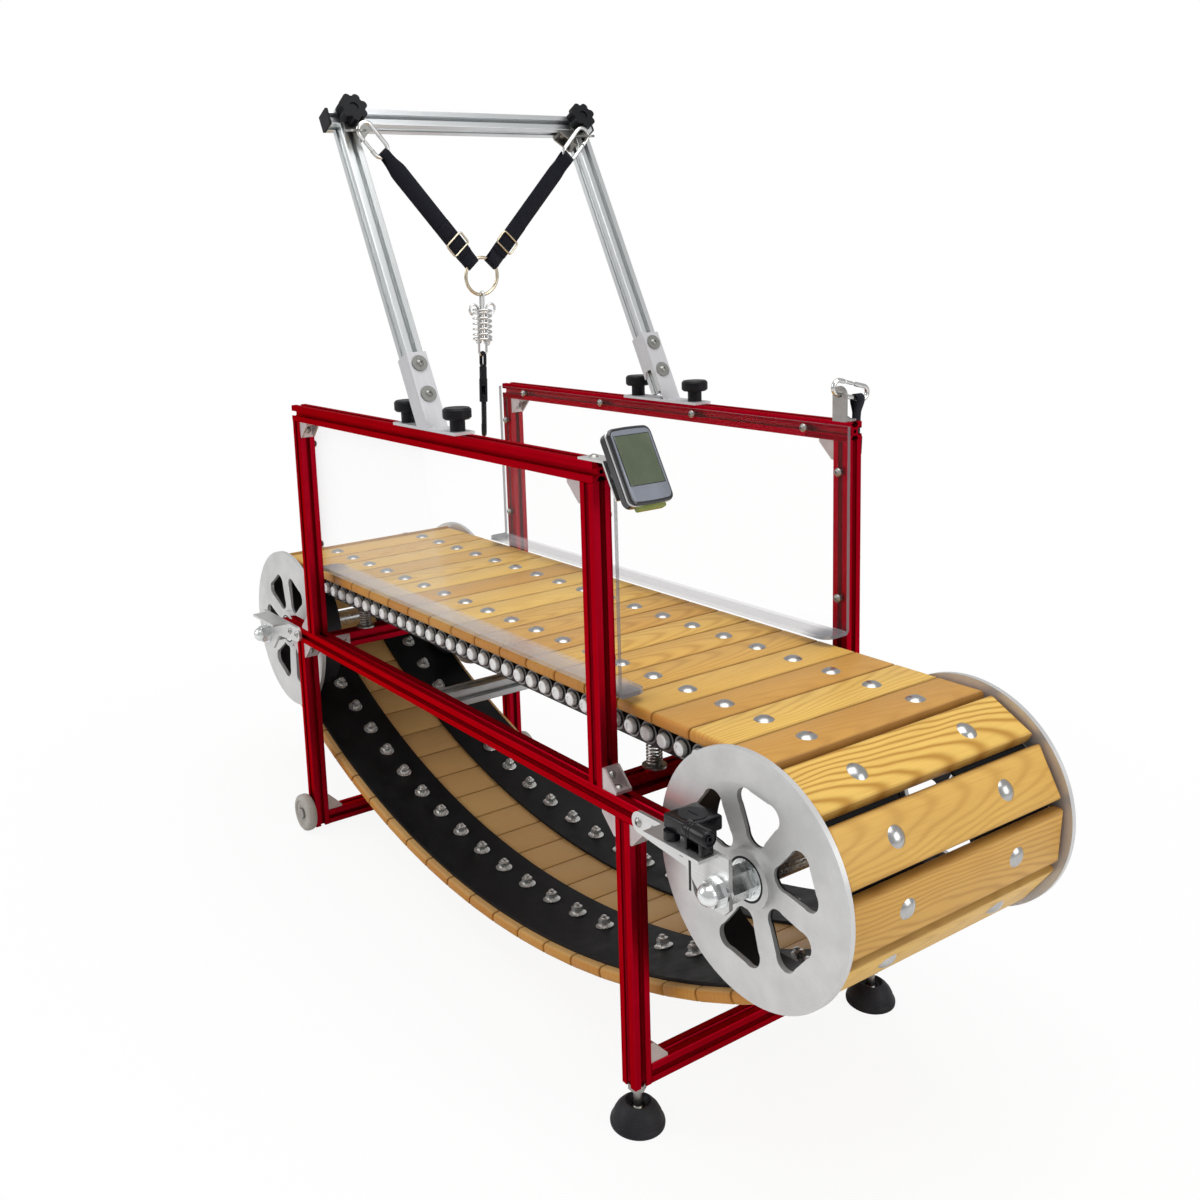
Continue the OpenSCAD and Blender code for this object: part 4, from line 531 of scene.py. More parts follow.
# Copies of one template on every point of the start mesh, turned by the point's own angles
copies_tree, copies_in, copies_end = geometry_tree("copies", {"Template": "Object", "Size": "Float"})
template_info = add_node(copies_tree, "GeometryNodeObjectInfo", {"Object": copies_in["Template"]})
turn_of = add_node(copies_tree, "GeometryNodeInputNamedAttribute", {"Name": "turn"},
                   data_type="FLOAT_VECTOR")
placed = add_node(copies_tree, "GeometryNodeInstanceOnPoints",
                  {"Points": copies_in["Geometry"], "Instance": template_info.outputs["Geometry"],
                   "Rotation": turn_of.outputs[0], "Scale": copies_in["Size"]})
copies_tree.links.new(placed.outputs[0], copies_end)


def spots_mesh(name, spots, turns, **numbers):
    """Loose points that carry their angles and other numbers as attributes."""
    mesh = bpy.data.meshes.new(name)
    mesh.from_pydata(spots, [], [])
    turn = mesh.attributes.new("turn", "FLOAT_VECTOR", "POINT")
    turn.data.foreach_set("vector", [c for t in turns for c in t])
    for label, values in numbers.items():
        mesh.attributes.new(label, "FLOAT", "POINT").data.foreach_set("value", values)
    return mesh


def copies(name, bm, spots, turns, material, place, body, smooth_below=38.0, **numbers):
    """One piece made of copies of a template; every copy may carry numbers for its material."""
    mesh = as_mesh(name + "_template", bm)
    shade(mesh, smooth_below)
    template = bpy.data.objects.new(name + "_template", mesh)
    scene.collection.objects.link(template)
    grown = grow(name, copies_tree, spots_mesh(name, spots, turns, **numbers),
                 {"Template": template, "Size": 1.0, "Material": material})
    bpy.data.objects.remove(template)
    return new_piece(name, grown, place, material, body, smooth_below)


def hexagon(bm, across, low, high, edge, place=None):
    """Hexagon head with chamfered corners."""
    corner = across / 2 / math.cos(math.pi / 6)
    lathe(bm, [(0, low), (corner, low), (corner, high - edge), (corner - edge * 1.6, high), (0, high)], 6,
          place)


first_roller_x, roller_pitch, roller_count = 0.080, 0.0235, 33
roller_xs = [first_roller_x - roller_pitch * k for k in range(roller_count)]
roller_z, roller_rail_y = 0.0447, 0.114
outer_race = [(0.0092, 0.0013), (0.0106, 0.0010), (0.0110, 0.0014), (0.0110, 0.0076), (0.0106, 0.0080),
              (0.0092, 0.0078)]
inner_race = [(0.0042, 0.0), (0.0062, 0.0), (0.0062, 0.0080), (0.0042, 0.0080)]
bolt_shank = [(0, -0.0080), (0.0039, -0.0080), (0.0039, 0.0082), (0, 0.0082)]
seal_ring = [(0.0061, 0.0020), (0.0093, 0.0020), (0.0093, 0.0071), (0.0061, 0.0071)]
round_head = [(0, 0.0080), (0.0066, 0.0080), (0.0070, 0.0084), (0.0070, 0.0118), (0.0064, 0.0129),
              (0.0052, 0.0133), (0.0034, 0.0133), (0.0028, 0.0127), (0, 0.0127)]
bearing_steel = plated("bearing_steel", (0.16, 0.155, 0.15), (0.28, 0.27, 0.26), 1.0, 0.34)
head_zinc = plated("head_zinc", (0.72, 0.73, 0.72), (0.92, 0.93, 0.92), 0.35, 0.40, 0.00003)
seal_black = grained("seal_black", (0.010, 0.010, 0.011), (0.022, 0.022, 0.023), 0.0, 0.45)
for side, sign in sides:
    outwards = Matrix.Rotation(-sign * math.radians(90), 4, "X").to_euler()
    spots = [(x, sign * roller_rail_y, roller_z) for x in roller_xs]
    turns = [tuple(outwards)] * roller_count
    bed = "roller_bed_" + side
    bm = turned(outer_race, 28)
    lathe(bm, inner_race, 20)
    hexagon(bm, 0.0130, -0.0080, -0.0031, 0.0004)
    lathe(bm, bolt_shank, 14)
    races = copies("roller_races_" + side, bm, spots, turns, bearing_steel, rail_frame, bed)
    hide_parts("rollers_" + side)
    seals = copies("roller_seals_" + side, turned(seal_ring, 28), spots, turns, seal_black, rail_frame, bed)
    heads = copies("roller_heads_" + side, turned(round_head, 18), spots, turns, head_zinc, rail_frame, bed)

# Bed springs: four short coil springs stand on the cross bars and carry the roller bed.
# They are bent from round spring wire with closed ends.
wire_tree, wire_in, wire_end = geometry_tree("bent_wire", {"Wire radius": "Float", "Sides": "Int"})
wire_path = add_node(wire_tree, "GeometryNodeMeshToCurve", {"Mesh": wire_in["Geometry"]})
wire_round = add_node(wire_tree, "GeometryNodeCurvePrimitiveCircle",
                      {"Radius": wire_in["Wire radius"], "Resolution": wire_in["Sides"]})
wire_skin = add_node(wire_tree, "GeometryNodeCurveToMesh",
                     {"Curve": wire_path.outputs[0], "Profile Curve": wire_round.outputs[0],
                      "Fill Caps": True})
wire_tree.links.new(wire_skin.outputs[0], wire_end)


def steps_between(count, closed):
    """Pairs of neighbours in a row, and from the last to the first where it is closed."""
    return [(k, k + 1) for k in range(count - 1)] + ([(count - 1, 0)] if closed else [])


def bent_wire(name, points, radius, material, place, body, closed=False, corners=12, smooth_below=50.0):
    """A round wire along points."""
    path = bpy.data.meshes.new(name)
    path.from_pydata(points, steps_between(len(points), closed), [])
    grown = grow(name, wire_tree, path, {"Wire radius": radius, "Sides": corners, "Material": material})
    bm = bmesh.new()
    bm.from_mesh(grown)
    return new_piece(name, bm, place, material, body, smooth_below)


def coil_points(outer, wire, length, curls, steps=22):
    """Centre line of a spring on z = 0 with a closed turn at each end."""
    radius, rise, closed_rise = (outer - wire) / 2, length - wire, wire * 1.02
    points = []
    for k in range(curls * steps + 1):
        turn = k / steps
        if turn < 1:
            height = closed_rise * turn
        elif turn > curls - 1:
            height = rise - closed_rise * (curls - turn)
        else:
            height = closed_rise + (rise - 2 * closed_rise) * (turn - 1) / (curls - 2)
        angle = 2 * math.pi * turn
        points.append((radius * math.cos(angle), radius * math.sin(angle), wire / 2 + height))
    return points


bed_spring_l, bed_travel, bed_spring_y, cup_z = 0.026, 0.006, 0.100, 0.002
bed_coil = coil_points(0.0160, 0.0020, bed_spring_l, 8)
spring_steel = plated("spring_steel", (0.34, 0.32, 0.29), (0.54, 0.51, 0.47), 1.0, 0.28)
for end, x in (("front", -0.010), ("rear", -0.610)):
    for side, sign in sides:
        corner = end + "_" + side
        foot = rail_frame @ Matrix.Translation((x, sign * bed_spring_y, cup_z))
        spring = bent_wire("bed_spring_" + corner, bed_coil, 0.0010, spring_steel, foot, "base")
        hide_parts("spring_" + corner)
        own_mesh(spring)

# Slat belt: wooden slats bolted across two rubber belts, in a loop over the discs' drums.
# The top run lies on the rollers and the lower run hangs in a long curve.
axle_half, pitch_r, belt_t, belt_sag = 0.465, 0.0890, 0.004, 0.217
sag_rest = belt_sag - pitch_r
arc_rise = (axle_half ** 2 - sag_rest ** 2) / (2 * sag_rest)
arc_r = arc_rise + belt_sag
arc_half = math.atan2(axle_half, arc_rise)
drum_turn = math.pi - arc_half
top_l, turn_l, hang_l = 2 * axle_half, pitch_r * drum_turn, arc_r * 2 * arc_half
loop_l = top_l + 2 * turn_l + hang_l
slat_w, slat_l, slat_t, slat_gap, first_slat = 0.0488, 0.268, 0.012, 0.0012, 0.005
slat_count = int(loop_l / (slat_w + slat_gap))
slat_pitch = loop_l / slat_count
axle_z = -0.031
deck_frame = rail_frame @ Matrix.Translation((-0.306, 0, axle_z))


def on_loop(s):
    """Place and outward angle on the belts' middle at a distance from the top of the front drum."""
    s %= loop_l
    if s < top_l:
        return axle_half - s, pitch_r, math.pi / 2
    s -= top_l
    if s < turn_l:
        angle = math.pi / 2 + s / pitch_r
        return -axle_half + pitch_r * math.cos(angle), pitch_r * math.sin(angle), angle
    s -= turn_l
    if s < hang_l:
        angle = 1.5 * math.pi - arc_half + s / arc_r
        return arc_r * math.cos(angle), arc_rise + arc_r * math.sin(angle), angle
    angle = math.pi / 2 - drum_turn + (s - hang_l) / pitch_r
    return axle_half + pitch_r * math.cos(angle), pitch_r * math.sin(angle), angle


slat_stations = [on_loop(first_slat + k * slat_pitch) for k in range(slat_count)]
slat_spots = [(x, 0, z) for x, z, _ in slat_stations]
slat_turns = [(0, math.pi / 2 - angle, 0) for _, _, angle in slat_stations]

# Oiled softwood: the rings of the log cut by each board, long fibres, darker ends, painted shade along the
# long edges at the seams between slats, and painted light on the undersides
heart_reach, heart_depth, log_lean, ring_wander = 0.070, 0.028, 0.10, 0.022
ring_rate, ring_sharp = 1500.0, 2.4
oiled_wood, wood_tree, wood_shader = start_material(
    "oiled_wood", {"Specular IOR Level": 0.22, "Coat Weight": 0.04, "Coat Roughness": 0.3})


def wood_attribute(label, output):
    return add_node(wood_tree, "ShaderNodeAttribute", attribute_name=label).outputs[output]


def wood_math(operation, *values):
    return math_node(wood_tree, operation, *values)


def far_from_axis(tree, a, b):
    """Distance from an axis, for places given by two axes square to it."""
    squares = math_node(tree, "MULTIPLY", a, a), math_node(tree, "MULTIPLY", b, b)
    return math_node(tree, "SQRT", math_node(tree, "ADD", *squares))


board = wood_attribute("grain", "Vector")
tone, figure, heart = (wood_attribute(label, "Fac") for label in ("tone", "figure", "heart"))
board_axes = axes_of(wood_tree, board)
drift = add_node(wood_tree, "ShaderNodeCombineXYZ",
                 {"X": wood_math("MULTIPLY", tone, 37.0), "Z": wood_math("MULTIPLY", heart, 53.0)})
board_at = add_node(wood_tree, "ShaderNodeVectorMath", {0: board, 1: drift.outputs[0]},
                    operation="ADD").outputs[0]


def board_noise(scale_across, scale_along, detail):
    """Noise stretched along the board."""
    sized = add_node(wood_tree, "ShaderNodeMapping",
                     {"Vector": board_at, "Scale": (scale_across, scale_along, scale_across)})
    return add_node(wood_tree, "ShaderNodeTexNoise",
                    {"Vector": sized.outputs[0], "Scale": 1.0, "Detail": detail}).outputs["Fac"]


wander = wood_math("MULTIPLY", wood_math("SUBTRACT", board_noise(28.0, 7.0, 2.0), 0.5), ring_wander)
ring_x = wood_math("ADD", wood_math("MULTIPLY_ADD", heart, heart_reach, -heart_reach / 2), wander)
ring_x = wood_math("ADD", board_axes["X"], ring_x)
ring_z = wood_math("MULTIPLY_ADD", board_axes["Y"], log_lean, heart_depth)
ring_wave = wood_math("SINE", wood_math("MULTIPLY", far_from_axis(wood_tree, ring_x, ring_z), ring_rate))
ring_line = wood_math("POWER", wood_math("MULTIPLY_ADD", ring_wave, 0.5, 0.5), ring_sharp)
fibre = board_noise(1100.0, 22.0, 4.0)
patch = board_noise(34.0, 10.0, 3.0)
pale_wood = blend_colours(wood_tree, tone, (0.55, 0.290, 0.066), (0.74, 0.480, 0.120))
deep_wood = blend_colours(wood_tree, tone, (0.31, 0.130, 0.026), (0.44, 0.225, 0.036))
# The dark brown on the eased long edges of each slat is painted shade of the seams between slats
seam_shade_brown, end_orange, underside_painted_light = (0.16, 0.060, 0.016), (0.46, 0.165, 0.022), (0.64, 0.38, 0.155)
across, along = size_of(wood_tree, board_axes["X"]), size_of(wood_tree, board_axes["Y"])
wood_colour = pale_wood
# The flat paler colour on the undersides of the slats is painted light that lifts their shade
for share, colour in ((wood_math("MULTIPLY", ring_line, figure), deep_wood),
                      (ramp(wood_tree, patch, 0.35, 0.75, 0.0, 0.24), deep_wood),
                      (ramp(wood_tree, fibre, 0.5, 0.8, 0.0, 0.35), deep_wood),
                      (ramp(wood_tree, across, 0.0215, 0.0244, 0.0, 0.45), seam_shade_brown),
                      (ramp(wood_tree, along, 0.1300, 0.1335, 0.0, 0.7), end_orange),
                      (ramp(wood_tree, board_axes["Z"], 0.0022, 0.0040, 0.8, 0.0), underside_painted_light)):
    wood_colour = blend_colours(wood_tree, share, wood_colour, colour)
paint(wood_tree, wood_shader, wood_colour, ramp(wood_tree, fibre, 0.0, 1.0, 0.38, 0.56))
raise_surface(wood_tree, wood_shader, wood_math("MULTIPLY_ADD", ring_line, -0.4, fibre), 0.00025, 0.6)

# Tone, strength of figure and place in the log of every slat, in a fixed order that looks mixed;
# the first slat on the front drum is the pale one with a bold figure
slat_tones = [(math.sin(k * 12.9898) * 43758.5453) % 1.0 for k in range(slat_count)]
slat_hearts = [(math.sin(k * 78.233 + 1.7) * 24634.6345) % 1.0 for k in range(slat_count)]
slat_figures = [0.12 + 0.38 * ((math.sin(k * 39.425 + 0.3) * 9631.17) % 1.0) for k in range(slat_count)]
slat_figures[-1], slat_tones[-1], slat_hearts[-1] = 1.0, 1.0, 0.2

# Each slat: a board with rounded ends and eased long edges; it keeps its own coordinates for the grain
end_round, edge_ease = 0.0045, 0.0013
bm = bmesh.new()
bmesh.ops.create_cube(bm, size=1.0)
for v in bm.verts:
    v.co = Vector((v.co.x * slat_w, v.co.y * slat_l, belt_t / 2 + slat_t / 2 + v.co.z * slat_t))
ends = [e for e in bm.edges if abs(e.verts[0].co.x - e.verts[1].co.x) > slat_w / 2]
bmesh.ops.bevel(bm, geom=ends, offset=end_round, segments=4, profile=0.5, affect="EDGES")
sharp = [e for e in bm.edges if e.calc_face_angle(0) > math.radians(60)]
bmesh.ops.bevel(bm, geom=sharp, offset=edge_ease, segments=2, profile=0.5, affect="EDGES")
grain_layer = bm.verts.layers.float_vector.new("grain")
for v in bm.verts:
    v[grain_layer] = v.co
slats = copies("slat_boards", bm, slat_spots, slat_turns, oiled_wood, deck_frame, "base", 30.0,
               tone=slat_tones, heart=slat_hearts, figure=slat_figures)
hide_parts("slats")

# Belts: two black rubber bands with a fabric face, one under each end of the slats.
# They are endless, and the slats are bolted through them.
rubber_belt, belt_tree, belt_shader = start_material("rubber_belt", {"Specular IOR Level": 0.2})
belt_where = object_place(belt_tree)
belt_weave = add_node(belt_tree, "ShaderNodeTexVoronoi", {"Vector": belt_where, "Scale": 900.0})
belt_dust = use_group(belt_tree, handling, Vector=belt_where, Scale=30.0)["Tone"]
paint(belt_tree, belt_shader,
      blend_colours(belt_tree, belt_dust, (0.004, 0.004, 0.0045), (0.011, 0.011, 0.012)),
      ramp(belt_tree, belt_dust, 0.0, 1.0, 0.48, 0.66))
raise_surface(belt_tree, belt_shader, belt_weave.outputs["Distance"], 0.0002, 0.5)
belt_steps, belt_near, belt_far, belt_in, belt_out = 420, 0.035, 0.125, -0.0016, 0.0018
bm = bmesh.new()
for sign in (-1, 1):
    near, far = sign * belt_near, sign * belt_far
    rings = []
    for k in range(belt_steps):
        x, z, angle = on_loop(loop_l * k / belt_steps)
        out = Vector((math.cos(angle), 0, math.sin(angle)))
        rings.append([bm.verts.new(Vector((x, y, z)) + out * d)
                      for y, d in ((near, belt_in), (near, belt_out), (far, belt_out), (far, belt_in))])
    for k in range(belt_steps):
        low, high = rings[k - 1], rings[k]
        for c in range(4):
            bm.faces.new([low[c - 1], low[c], high[c], high[c - 1]])
belts = new_piece("belt_bands", bm, deck_frame, rubber_belt, "base")
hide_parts("belts")

# Slat bolts: zinc carriage bolts with low domed heads outside and flanged nuts inside.
# Two hold each slat, one through each belt.
head_r, head_h, bolt_y = 0.0092, 0.0036, 0.069
head_ball = (head_r ** 2 + head_h ** 2) / (2 * head_h)
dome = [(math.sqrt(max(head_ball ** 2 - (h - head_h + head_ball) ** 2, 0)), h)
        for h in [head_h * k / 6 for k in range(6)]] + [(0, head_h)]
slat_top = belt_t / 2 + slat_t
bolt_spots = [(x, sign * bolt_y, z) for sign in (-1, 1) for x, _, z in slat_spots]
bolt_zinc = plated("bolt_zinc", (0.40, 0.40, 0.40), (0.52, 0.52, 0.51), 1.0, 0.27)
nut_zinc = plated("nut_zinc", (0.60, 0.60, 0.58), (0.86, 0.86, 0.83), 0.75, 0.24)
bolt_tip = [(0, -0.0138), (0.0022, -0.0138), (0.0030, -0.0132), (0.0030, -0.0104), (0, -0.0104)]
nut_flange = [(0, -0.0040), (0.0062, -0.0042), (0.0086, -0.0036), (0.0098, -0.0031), (0.0098, -0.0024),
              (0, -0.0022)]
bm = turned([(0, slat_top)] + [(r, slat_top + h) for r, h in dome], 24)
bolts = copies("slat_bolts_domed", bm, bolt_spots, slat_turns * 2, bolt_zinc, deck_frame, "base")
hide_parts("slat_bolts")
bm = turned(bolt_tip, 14)
hexagon(bm, 0.0108, 0.0036, 0.0112, 0.0009, Matrix.Rotation(math.pi, 4, "X"))
lathe(bm, nut_flange, 24)
nuts = copies("slat_nuts_flanged", bm, bolt_spots, slat_turns * 2, nut_zinc, deck_frame, "base")

# Discs: cut and pressed aluminium plates with six windows, each with a drum behind it.
# The plate is brushed in rings with a turned rim, and the drum and a ring around the hub's bore are dark.
drum_grey, rim_grey, bore_ring_dark = (0.035, 0.035, 0.04), (0.60, 0.60, 0.60), (0.010, 0.010, 0.012)
rim_edge, drum_edge, bore_ring_radius, bore_ring_half = (0.1082, 0.1092), (0.1362, 0.1368), 0.0180, (0.0014, 0.0017)
for node, x in (("front_discs", 0.159), ("rear_discs", -0.771)):
    disc_plate, disc_tree, disc_shader = start_material("disc_plate_" + node, {"Metallic": 0.6})
    at_disc = add_node(disc_tree, "ShaderNodeMapping",
                       {"Vector": object_place(disc_tree), "Location": rail_frame @ Vector((x, 0, axle_z))},
                       vector_type="TEXTURE").outputs[0]
    disc_x, disc_y, disc_z = axes_of(disc_tree, at_disc)
    radius = far_from_axis(disc_tree, disc_x, disc_z)
    ringed = add_node(disc_tree, "ShaderNodeCombineXYZ",
                      {"X": math_node(disc_tree, "MULTIPLY", radius, 900.0)})
    swirl = use_group(disc_tree, drawn_lines, Vector=ringed.outputs[0])
    wear = use_group(disc_tree, handling, Vector=at_disc, Scale=22.0)
    disc_tone = mixed_tone(disc_tree, wear, swirl, 0.7)
    plate_colour = blend_colours(disc_tree, disc_tone, (0.53, 0.53, 0.525), (0.70, 0.70, 0.69))
    from_bore_ring = size_of(disc_tree, math_node(disc_tree, "SUBTRACT", radius, bore_ring_radius))
    from_middle = size_of(disc_tree, disc_y)
    # Darker in a ring around the hub's bore, and dark on the drum behind the plate faces
    for share, colour in ((ramp(disc_tree, radius, *rim_edge), rim_grey),
                          (ramp(disc_tree, from_bore_ring, *bore_ring_half, 1.0, 0.0), bore_ring_dark),
                          (ramp(disc_tree, from_middle, *drum_edge, 1.0, 0.0), drum_grey)):
        plate_colour = blend_colours(disc_tree, share, plate_colour, colour)
    paint(disc_tree, disc_shader, plate_colour, ramp(disc_tree, disc_tone, 0.0, 1.0, 0.47, 0.37))
    raise_surface(disc_tree, disc_shader, swirl["Height"], 0.0001, 0.35)
    dress(node, disc_plate)

# Gantry: two leaning arms and a cross bar of silver profile over the deck, in folded sheet feet.
# T-shaped clamp knobs hold the feet to the handrails, and star knobs hold the eyes at the top.
arm_turn = -(math.radians(27) + slope)
for node, finish, dark, light, along, metal, smooth in (
        ("gantry_arms", "silver_arms", (0.64, 0.67, 0.67), (0.82, 0.84, 0.84), 2, 1.0, 0.30),
        ("gantry_bar", "silver_bar", silver_dark, silver_light, 1, 1.0, 0.30),
        ("gantry_feet", "folded_sheet", (0.52, 0.52, 0.54), (0.64, 0.64, 0.66), 2, 0.6, 0.42)):
    dress(node, drawn_profile(finish, dark, light, along, arm_turn, metal, smooth))
dress("gantry_fittings", plated("dull_zinc", (0.22, 0.22, 0.21), (0.36, 0.36, 0.34), 0.9, 0.36, 0.00003))
knob_black = grained("knob_black", (0.004, 0.0042, 0.0055), (0.010, 0.0105, 0.013), 0.0, 0.40, 1100.0,
                     sockets=matt_black)
dress("gantry_end_caps", knob_black)
for side, _ in sides:
    for knob in ("clamp_knob_front_", "clamp_knob_rear_", "star_knob_"):
        dress(knob + side, knob_black)

# Harness: snap links on the eyes at the top of the gantry, and two looped straps of black webbing.
# The links are bright steel wire; the snap hook that hangs below is black.
bright = plated("bright_steel", (0.56, 0.56, 0.55), (0.78, 0.78, 0.77), 1.0, 0.20)
warm_nickel = plated("warm_nickel", (0.50, 0.42, 0.30), (0.72, 0.64, 0.49), 1.0, 0.22)
hook_black = grained("hook_black", (0.008, 0.008, 0.010), (0.018, 0.018, 0.022), 0.2, 0.34,
                     sockets=matt_black)
for node in ("snap_links", "link_gate_right", "link_gate_left"):
    dress(node, bright)
for node in ("snap_eye", "snap_hook", "snap_bolt"):
    dress(node, hook_black)

webbing, web_tree, web_shader = start_material(
    "black_webbing", {"Specular IOR Level": 0.12, "Sheen Weight": 0.08, "Sheen Roughness": 0.5})
web_axes = axes_of(web_tree, add_node(web_tree, "ShaderNodeUVMap", uv_map="run").outputs[0])
pick_pitch, yarn_pitch = 0.0011, 0.0014


def web_wave(axis, pitch):
    turns = math_node(web_tree, "MULTIPLY", web_axes[axis], 2 * math.pi / pitch)
    return math_node(web_tree, "SINE", turns)


pick, end_yarn = web_wave("X", pick_pitch), web_wave("Y", yarn_pitch)
weave = math_node(web_tree, "MULTIPLY_ADD", math_node(web_tree, "MULTIPLY", pick, end_yarn), 0.5, 0.5)
paint(web_tree, web_shader,
      blend_colours(web_tree, weave, (0.0035, 0.0038, 0.0075), (0.0085, 0.0092, 0.0165)),
      ramp(web_tree, weave, 0.0, 1.0, 0.80, 0.62))
raise_surface(web_tree, web_shader, weave, 0.0003, 0.7)


def strap(bm, path, widths, thick, closed):
    """Webbing along a path of (x, z) points in its own plane, with a width at every point across y."""
    run_layer = bm.loops.layers.uv.get("run") or bm.loops.layers.uv.new("run")
    count, rings, run, runs = len(path), [], 0.0, []
    for k, (x, z) in enumerate(path):
        before = path[k - 1] if closed or k else path[0]
        after = path[(k + 1) % count] if closed or k < count - 1 else path[-1]
        way = Vector((after[0] - before[0], after[1] - before[1])).normalized()
        face = Vector((way.y, -way.x)) * thick / 2
        half, soft = widths[k] / 2, thick * 0.35
        if k:
            run += math.dist(path[k - 1], path[k])
        runs.append(run)
        rings.append([bm.verts.new((x + face.x * share, y, z + face.y * share))
                      for y, share in ((-half, 0.3), (-half + soft, 1), (half - soft, 1), (half, 0.3),
                                       (half, -0.3), (half - soft, -1), (-half + soft, -1), (-half, -0.3))])
    for a, b in steps_between(count, closed):
        run_b = runs[b] if b else run + math.dist(path[-1], path[0])
        for c in range(8):
            quad = bm.faces.new([rings[a][c - 1], rings[a][c], rings[b][c], rings[b][c - 1]])
            for loop, at in zip(quad.loops, (runs[a], runs[a], run_b, run_b)):
                loop[run_layer].uv = (at, loop.vert.co.y)
    if not closed:
        bm.faces.new(rings[0])
        bm.faces.new(list(reversed(rings[-1])))


def smooth_share(share):
    share = min(max(share, 0.0), 1.0)
    return share * share * (3 - 2 * share)


half_turn = [(math.cos(math.pi * k / 12), math.sin(math.pi * k / 12)) for k in range(13)]
eyes = Vector((-0.161339, 0, 0.91675))
link_y, ring_drop, ring_r, strap_t = 0.148, 0.165, 0.022, 0.0013
link_turn = math.atan2(link_y, ring_drop)
link_end, ring_end = 0.035, math.hypot(link_y, ring_drop) - ring_r
strap_w, link_bunch, link_spread, ring_bunch = 0.021, 0.0108, 0.0160, 0.0165
link_wrap, ring_wrap, layer = 0.0050, 0.0046, 0.00075
link_fold, ring_fold, link_flare, ring_flare = 0.018, 0.014, 0.026, 0.016
run_gap, run_steps = 0.004, 44
tail_lift, tail_start, tail_step, tail_points, tail_w = 0.0014, 0.014, 0.0025, 19, strap_w * 0.97
run_depths = [link_end + run_gap + (ring_end - link_end - 2 * run_gap) * k / run_steps
              for k in range(run_steps + 1)]
front_run = []
for depth in run_depths:
    at_link = 1 - smooth_share((depth - link_end) / link_fold)
    at_ring = 1 - smooth_share((ring_end - depth) / ring_fold)
    front_run.append((layer + (link_wrap - layer) * at_link + (ring_wrap - layer) * at_ring, -depth))
path = ([(-link_wrap * c, -link_end + link_wrap * s) for c, s in half_turn] + front_run
        + [(ring_wrap * c, -ring_end - ring_wrap * s) for c, s in half_turn]
        + [(-x, z) for x, z in reversed(front_run)])
turn_points = len(half_turn)
depths = [link_end] * turn_points + run_depths + [ring_end] * turn_points + list(reversed(run_depths))
tail = [(layer + tail_lift, -ring_end + tail_start + tail_step * k) for k in range(tail_points)]
strap_place = {sign: Matrix.Translation((0, sign * link_y, 0)) @ Matrix.Rotation(-sign * link_turn, 4, "X")
               for _, sign in sides}
bm = bmesh.new()
for sign, bunch in ((-1, link_bunch), (1, link_spread)):
    widths = [bunch + (strap_w - bunch) * smooth_share((depth - link_end) / link_flare)
              - (strap_w - ring_bunch) * (1 - smooth_share((ring_end - depth) / ring_flare))
              for depth in depths]
    first = len(bm.verts)
    strap(bm, path, widths, strap_t, True)
    strap(bm, tail, [tail_w] * tail_points, strap_t, False)
    for v in list(bm.verts)[first:]:
        v.co = strap_place[sign] @ v.co
straps = new_piece("harness_webbing", bm, Matrix.Translation(eyes), webbing, "harness", 60.0)
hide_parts("harness_straps")

# Ring and sliders: a closed ring of nickelled wire that both straps are looped on.
# A bent wire frame on the front of each strap sets its length; its middle bar is inside the fold.
ring_wire, slider_wire, slider_x = 0.002, 0.0012, 0.0038
ring_section = [(ring_r + ring_wire * math.cos(math.pi * k / 6), ring_wire * math.sin(math.pi * k / 6))
                for k in range(12)]
bm = turned(ring_section, 72, Matrix.Translation((0, 0, -ring_drop)) @ along_x)
ring = new_piece("harness_ring", bm, Matrix.Translation(eyes), warm_nickel, "harness", 60.0)
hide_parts("harness_rings")
slider_w, slider_l, slider_r, slider_at = 0.0250, 0.0170, 0.0030, ring_end - 0.030
slider_loop = []
for sy, sz, begin in corner_signs:
    for k in range(7):
        angle = math.radians(begin + 15 * k)
        slider_loop.append((slider_x, sy * (slider_w / 2 - slider_r) + slider_r * math.cos(angle),
                            -slider_at + sz * (slider_l / 2 - slider_r) + slider_r * math.sin(angle)))
for side, sign in sides:
    slider = bent_wire("strap_slider_" + side, slider_loop, slider_wire, warm_nickel,
                       Matrix.Translation(eyes) @ strap_place[sign], "harness", closed=True)

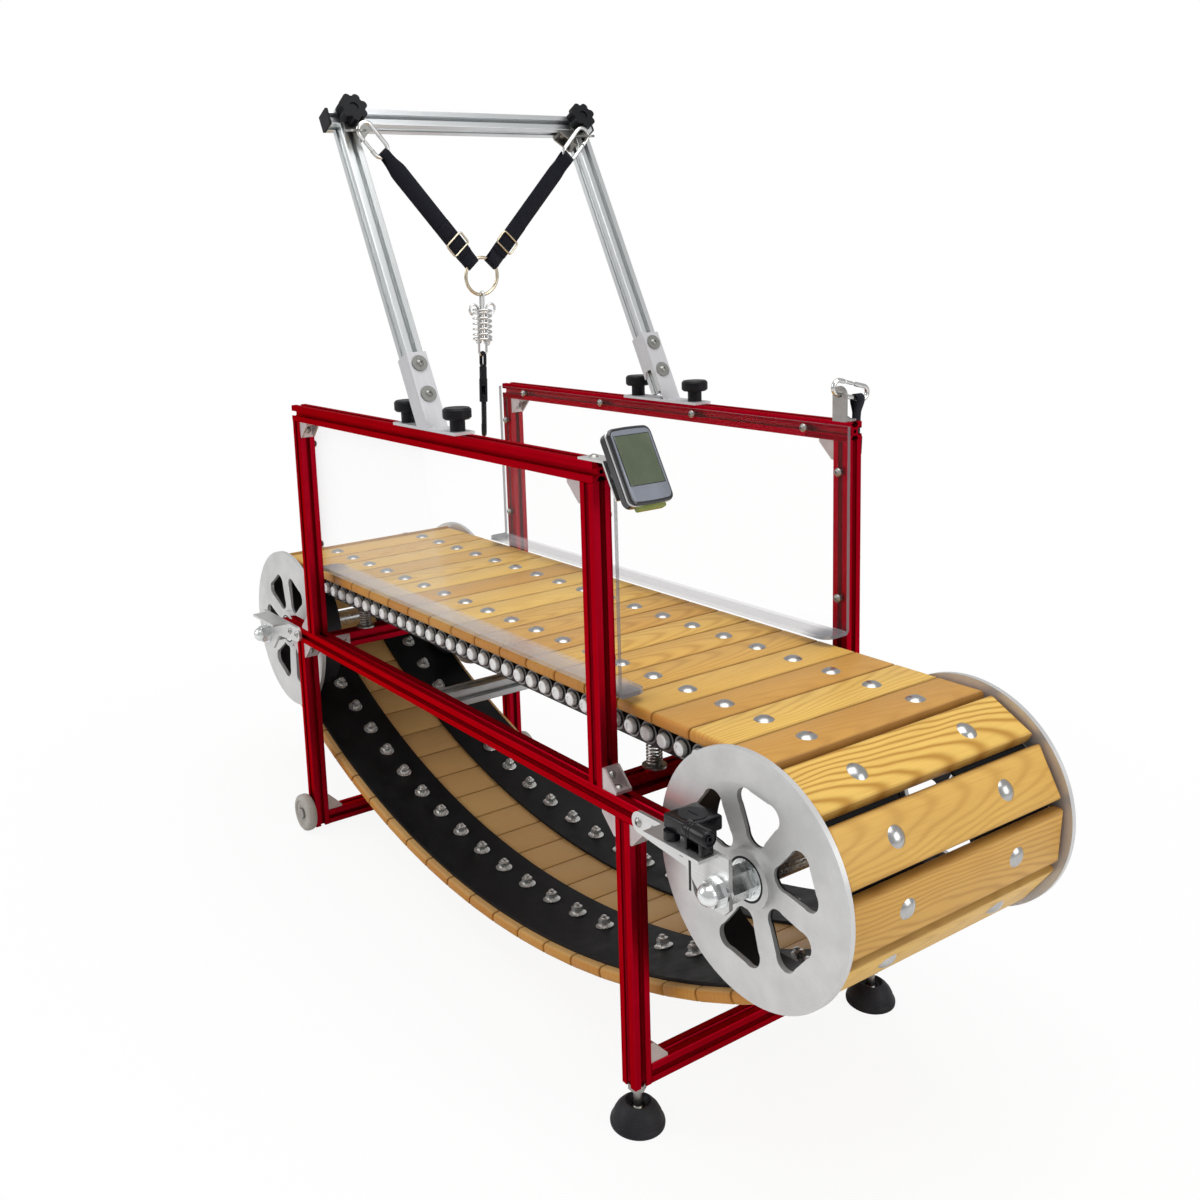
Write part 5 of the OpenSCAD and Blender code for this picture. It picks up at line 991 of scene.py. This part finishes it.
# Harness spring: a coil between two wire bails that lets the hook give under a pull.
# One bail hangs on the ring and hooks under the coil; the other holds the snap hook and hooks over its top.
shock_l, shock_travel, bail_wire = 0.040, 0.015, 0.0014
shock_top, bail_y = -0.203, 0.0052
shock_end, rod_end, yoke_top, yoke_x = shock_top - shock_l, -0.255, -0.187, 0.0035
shock_foot = Matrix.Translation(eyes + Vector((0, 0, shock_end)))
shock_path = coil_points(0.0240, 0.0026, shock_l, 7)
shock = bent_wire("shock_coil", shock_path, 0.0013, bright, shock_foot, "harness")
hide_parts("shock_spring")
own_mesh(shock)
upper_hook = [(0.0148, 0.0028), (0.0145, -0.0010), (0.0126, -0.0028), (0.0085, -0.0030), (0.0052, -0.0018),
              (yoke_x, 0.0022)]
upper = ([(x, 0, shock_end + z) for x, z in upper_hook]
         + [(yoke_x * c, 0, yoke_top + yoke_x * s) for c, s in half_turn]
         + [(-x, 0, shock_end + z) for x, z in reversed(upper_hook)])
upper_bail = bent_wire("upper_bail", upper, bail_wire, bright, Matrix.Translation(eyes), "harness")
wing = [(0.0136, -0.0074), (0.0160, -0.0060), (0.0176, -0.0026), (0.0174, 0.0014), (0.0150, 0.0042),
        (0.0116, 0.0047), (0.0082, 0.0034), (0.0058, 0.0004), (bail_y, -0.0040)]
lower = ([(0, y, shock_top + z) for y, z in wing]
         + [(0, bail_y * c, rod_end - bail_y * s) for c, s in half_turn]
         + [(0, -y, shock_top + z) for y, z in reversed(wing)])
lower_bail = bent_wire("lower_bail", lower, bail_wire, bright, Matrix.Translation(eyes), "shock")
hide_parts("shock_rod")

# Corner tether: an eye plate on the left handrail with a snap link and a short webbing strap.
# The strap's end is held by a small black buckle.
dress("corner_eye", zinc)
for node in ("corner_link", "corner_gate"):
    dress(node, bright)
tether_eye = rail_frame @ Vector((-0.012, 0.15125, 0.327))
tether_tilt = math.radians(14)
tether_y, tether_w, tether_l, tether_wrap, buckle_l = 0.02575, 0.011, 0.058, 0.0049, 0.020
bar_z = -tether_y * math.tan(tether_tilt)
tether_start, tether_fold, tether_steps = 0.003, 0.016, 20
down = [tether_start + (tether_l - tether_start) * k / tether_steps for k in range(tether_steps + 1)]
front_run = [(layer + (tether_wrap - layer) * (1 - smooth_share(d / tether_fold)), -d) for d in down]
path = ([(-x, z) for x, z in reversed(front_run)]
        + [(-tether_wrap * c, tether_wrap * s) for c, s in half_turn] + front_run)
place = Matrix.Translation(tether_eye + Vector((0, tether_y, bar_z)))
bm = bmesh.new()
strap(bm, path, [tether_w] * len(path), strap_t, False)
tether = new_piece("tether_webbing", bm, place, webbing, "tether", 60.0)
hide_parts("corner_strap")
bm = bmesh.new()
block(bm, (-0.0044, -0.0065, -tether_l), (0.0044, 0.0065, -tether_l + buckle_l), 0.0018)
buckle = new_piece("tether_buckle", bm, place, knob_black, "tether")
